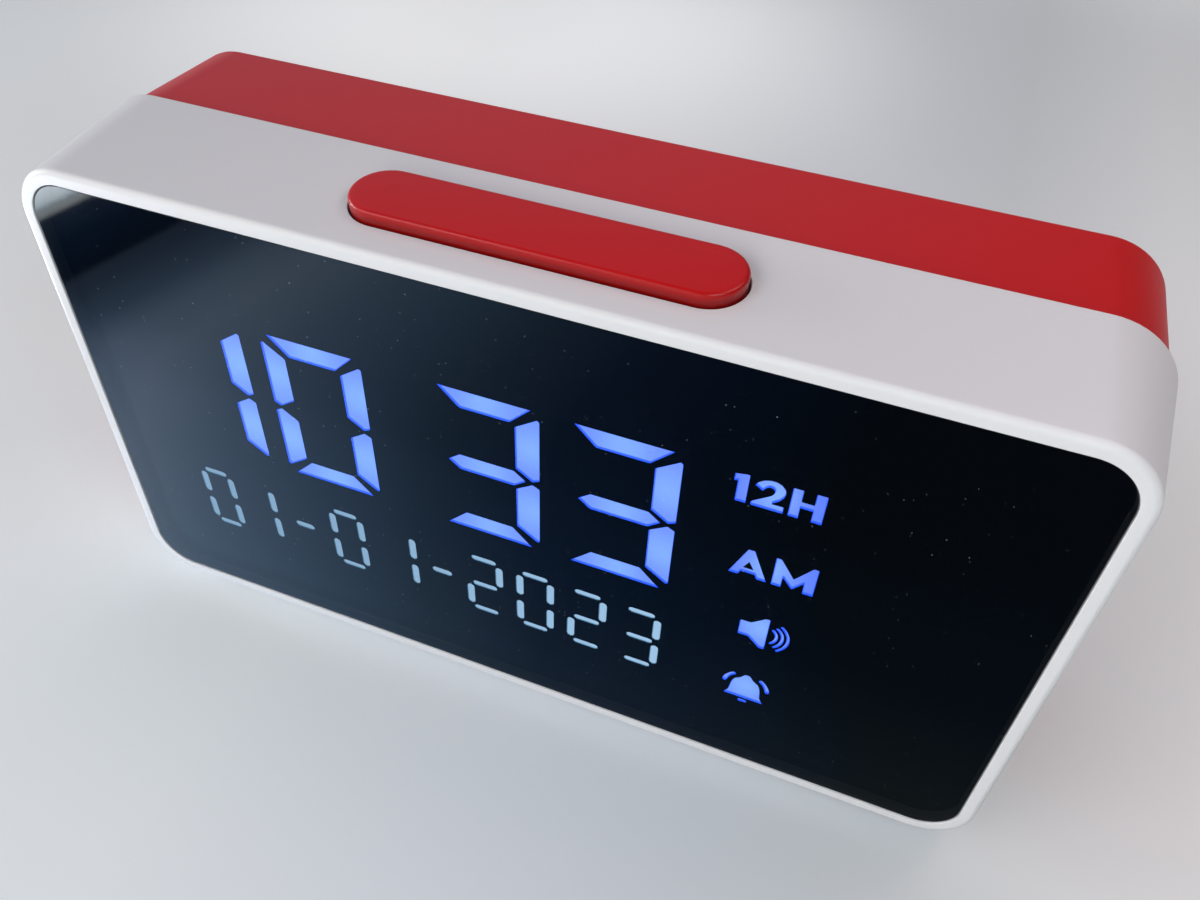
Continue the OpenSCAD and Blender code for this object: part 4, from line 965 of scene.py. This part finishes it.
# Battery door and cells: a red lid lies flush in its recess, with a ribbed thumb dish near its lower
# edge and two lugs at the top. Three AAA cells lie in the bay behind it, head to tail.
door_y, thumb_at, thumb_r, thumb_depth = recess_y, np.array([-22.0, -26.0]), 6.2, 0.8
door = growing(57, 41, 1.0, 4, bay_at)
thumb_edge = disc(thumb_r, 14)
rib_h, rib_pitch = 0.42, 2.2
share = np.concatenate([[1.0], np.linspace(0.98, 0, 26)])[:, None]
flat = thumb_at + share[..., None] * thumb_edge[None]
ribs = rib_h * np.maximum(0, np.cos(2 * math.pi * (flat[..., 1] - thumb_at[1]) / rib_pitch)) ** 2
fade = np.clip((0.86 - share) / 0.12, 0, 1)
depth = back_y - thumb_depth * np.sqrt(np.clip(1 - share ** 2, 0, 1)) * np.ones_like(ribs) + ribs * fade
dish = np.stack([flat[..., 0], depth, flat[..., 1] + mid_z], -1)
rows = ((-0.3, back_y), (-0.15, back_y - 0.05), (-0.05, back_y - 0.14), (0, back_y - 0.3), (0, door_y + 0.1),
        (-0.1, door_y))
door_parts = [
    plate(door(-0.3), [thumb_at + thumb_edge], back_y), skin(dish),
    sides([(door(step), y) for step, y in rows], caps=(False, True))]
hook_half = 4.0
hook = np.array([[door_y + 0.1, 18.1], [door_y + 0.1, 19.9], [19.2, 19.9], [19.2, 23.0], [18.7, 23.0],
                 [18.2, 22.6], [18.2, 18.1]]) + (0, bay_at[1] + mid_z)
for x in (-lug_x, lug_x):
    sides = [np.insert(hook, 0, bay_at[0] + x + s * hook_half, axis=1) for s in (-1, 1)]
    door_parts.append(skin(sides, caps=(True, True)))
lid = make_piece("battery_lid", door_parts, red_plastic, "battery_door", ["battery_door"])

jacket, tree, shader = new_material("cell_jacket", {"Roughness": 0.28, "Metallic": 0.0, "IOR": 1.5})
zone = add_node(tree, "Attribute", attribute_name="glow_painted_shade_or_zone")
zones = add_node(tree, "ValToRGB", {"Fac": (zone, "Fac")})
zones.color_ramp.interpolation = "CONSTANT"
zones.color_ramp.elements[0].color = (0.60, 0.60, 0.62, 1)
zones.color_ramp.elements[1].position = 0.4
zones.color_ramp.elements[1].color = (0.025, 0.03, 0.04, 1)
zones.color_ramp.elements.new(0.8).color = (0.55, 0.30, 0.08, 1)
bare = calc(tree, "LESS_THAN", (zone, "Fac"), 0.4)
place = add_node(tree, "TexCoord"), "Object"
scuff = add_node(tree, "TexNoise", {"Vector": place, "Scale": 700.0, "Detail": 3.0})
gloss = between(tree, scuff, 0, 1, 0.2, 0.38)
feed(tree, shader, {"Base Color": zones, "Metallic": bare, "Roughness": gloss})
cell_rows = [
    (0, -21.7, 0), (4.2, -21.7, 0), (4.45, -21.6, 0), (4.5, -21.4, 1), (5.0, -21.72, 1), (5.2, -21.5, 1),
    (5.25, -21.1, 1), (5.25, 10.0, 1), (5.25, 10.001, 2), (5.25, 21.1, 2), (5.2, 21.5, 2), (5.0, 21.7, 2),
    (4.5, 21.4, 2), (4.45, 21.41, 0), (2.2, 21.45, 0), (1.95, 21.8, 0), (1.9, 22.5, 0), (1.7, 22.75, 0),
    (0, 22.75, 0)]
cell_shift, cell_y, cell_pitch = 1.85, 14.55, 11.4
parts, glows = [], []
for k, way in enumerate((1, -1, 1)):
    centre = np.array([bay_at[0] + way * cell_shift, cell_y, mid_z + bay_at[1] + (k - 1) * cell_pitch])
    rings = [centre + np.insert(disc(r, 9), 0, way * along, axis=1) for r, along, _ in cell_rows]
    parts.append(skin(rings))
    glows.append(np.repeat([value / 2 for _, _, value in cell_rows], len(rings[0])))
cells = make_piece("battery_cells", parts, jacket, "clock", ["batteries"], 40, glows)
spring_wire = metal("spring_wire", (0.58, 0.58, 0.60), 0.22, 1500.0)
dress(spring_wire, "battery_springs")


# Bar springs: two small coils between the switch board and the talk bar. In the clock they shorten as the
# bar goes down, feet with the clock and tops with the bar; here they are made at one length.
def coil(x, r, low, high, turns=4, wire=0.22, sides=8, steps=16):
    """Wire swept along a helix about the line at x in the top's frame. At the angle t its middle is
    (x + r cos t, r sin t), and its height runs evenly from low to high."""
    around = np.linspace(0, 2 * math.pi, sides, endpoint=False)
    out = r + wire * np.cos(around)
    rings = []
    for part in np.linspace(0, 1, turns * steps + 1):
        t = 2 * math.pi * turns * part
        height = low + wire + (high - low - 2 * wire) * part + wire * np.sin(around)[:, None]
        rings.append(on_top(np.column_stack([x + out * math.cos(t), out * math.sin(t)]), height))
    return skin(rings, caps=(True, True))


spring_low, spring_high, spring_x, spring_r = bar_board_top, bar_under - 0.02, 18, 2.2
coils = [coil(x, spring_r, spring_low, spring_high) for x in (-spring_x, spring_x)]
springs = make_piece("bar_springs", coils, spring_wire, None, ["talk_bar_springs"], 60, weighted=False)
foot, head = (Vector(on_top(np.zeros((1, 2)), height)[0]) * mm for height in (spring_low, spring_high))
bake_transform(springs)
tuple(foot)
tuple(head)


# Electronics: two green boards with lights, chips and small parts, joined by a flat cable. They sit
# behind the display and the control strip and are seen only when the clock is opened.
solder_mask, tree, shader = new_material("solder_mask", {"Roughness": 0.3, "IOR": 1.5})
place = add_node(tree, "TexCoord"), "Object"
turn_up = add_node(tree, "Mapping", {"Vector": place, "Rotation": (math.pi / 2, 0, 0)})
tracks = add_node(tree, "TexBrick", {
    "Vector": turn_up, "Color1": (0.012, 0.10, 0.035, 1), "Color2": (0.018, 0.14, 0.05, 1),
    "Mortar": (0.006, 0.06, 0.02, 1), "Scale": 260.0, "Mortar Size": 0.06})
feed(tree, shader, {"Base Color": tracks})
dress(solder_mask, "display_board", "bar_switch_board", "main_board")
dress(moulded_plastic("light_housing", (0.72, 0.70, 0.55), 0.35), "display_leds")
dress(moulded_plastic("header_plastic", (0.62, 0.60, 0.55), 0.5), "ribbon_headers")
dress(moulded_plastic("capacitor_sleeve", (0.02, 0.03, 0.09), 0.3), "capacitors")
dress(moulded_plastic("ribbon_insulation", (0.28, 0.29, 0.32), 0.42, 1800.0), "ribbon_cable")
for name, colour in (("bar_leads", (0.62, 0.50, 0.04)), ("speaker_leads", (0.50, 0.02, 0.015)),
                     ("battery_leads", (0.012, 0.012, 0.012))):
    dress(moulded_plastic(name + "_insulation", colour, 0.42, 1800.0), name)


# Loudspeaker: a pressed basket with a grey ferrite magnet and a black paper cone. It sits behind
# the grille and shows only as a dark round through the holes.
dress(moulded_plastic("ferrite", (0.055, 0.055, 0.06), 0.6, 1500.0, 0.00006, 0.25), "speaker_magnet")
dress(moulded_plastic("paper_cone", (0.012, 0.012, 0.013), 0.8, 1400.0, 0.0001, 0.3), "speaker_cone")

low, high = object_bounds()
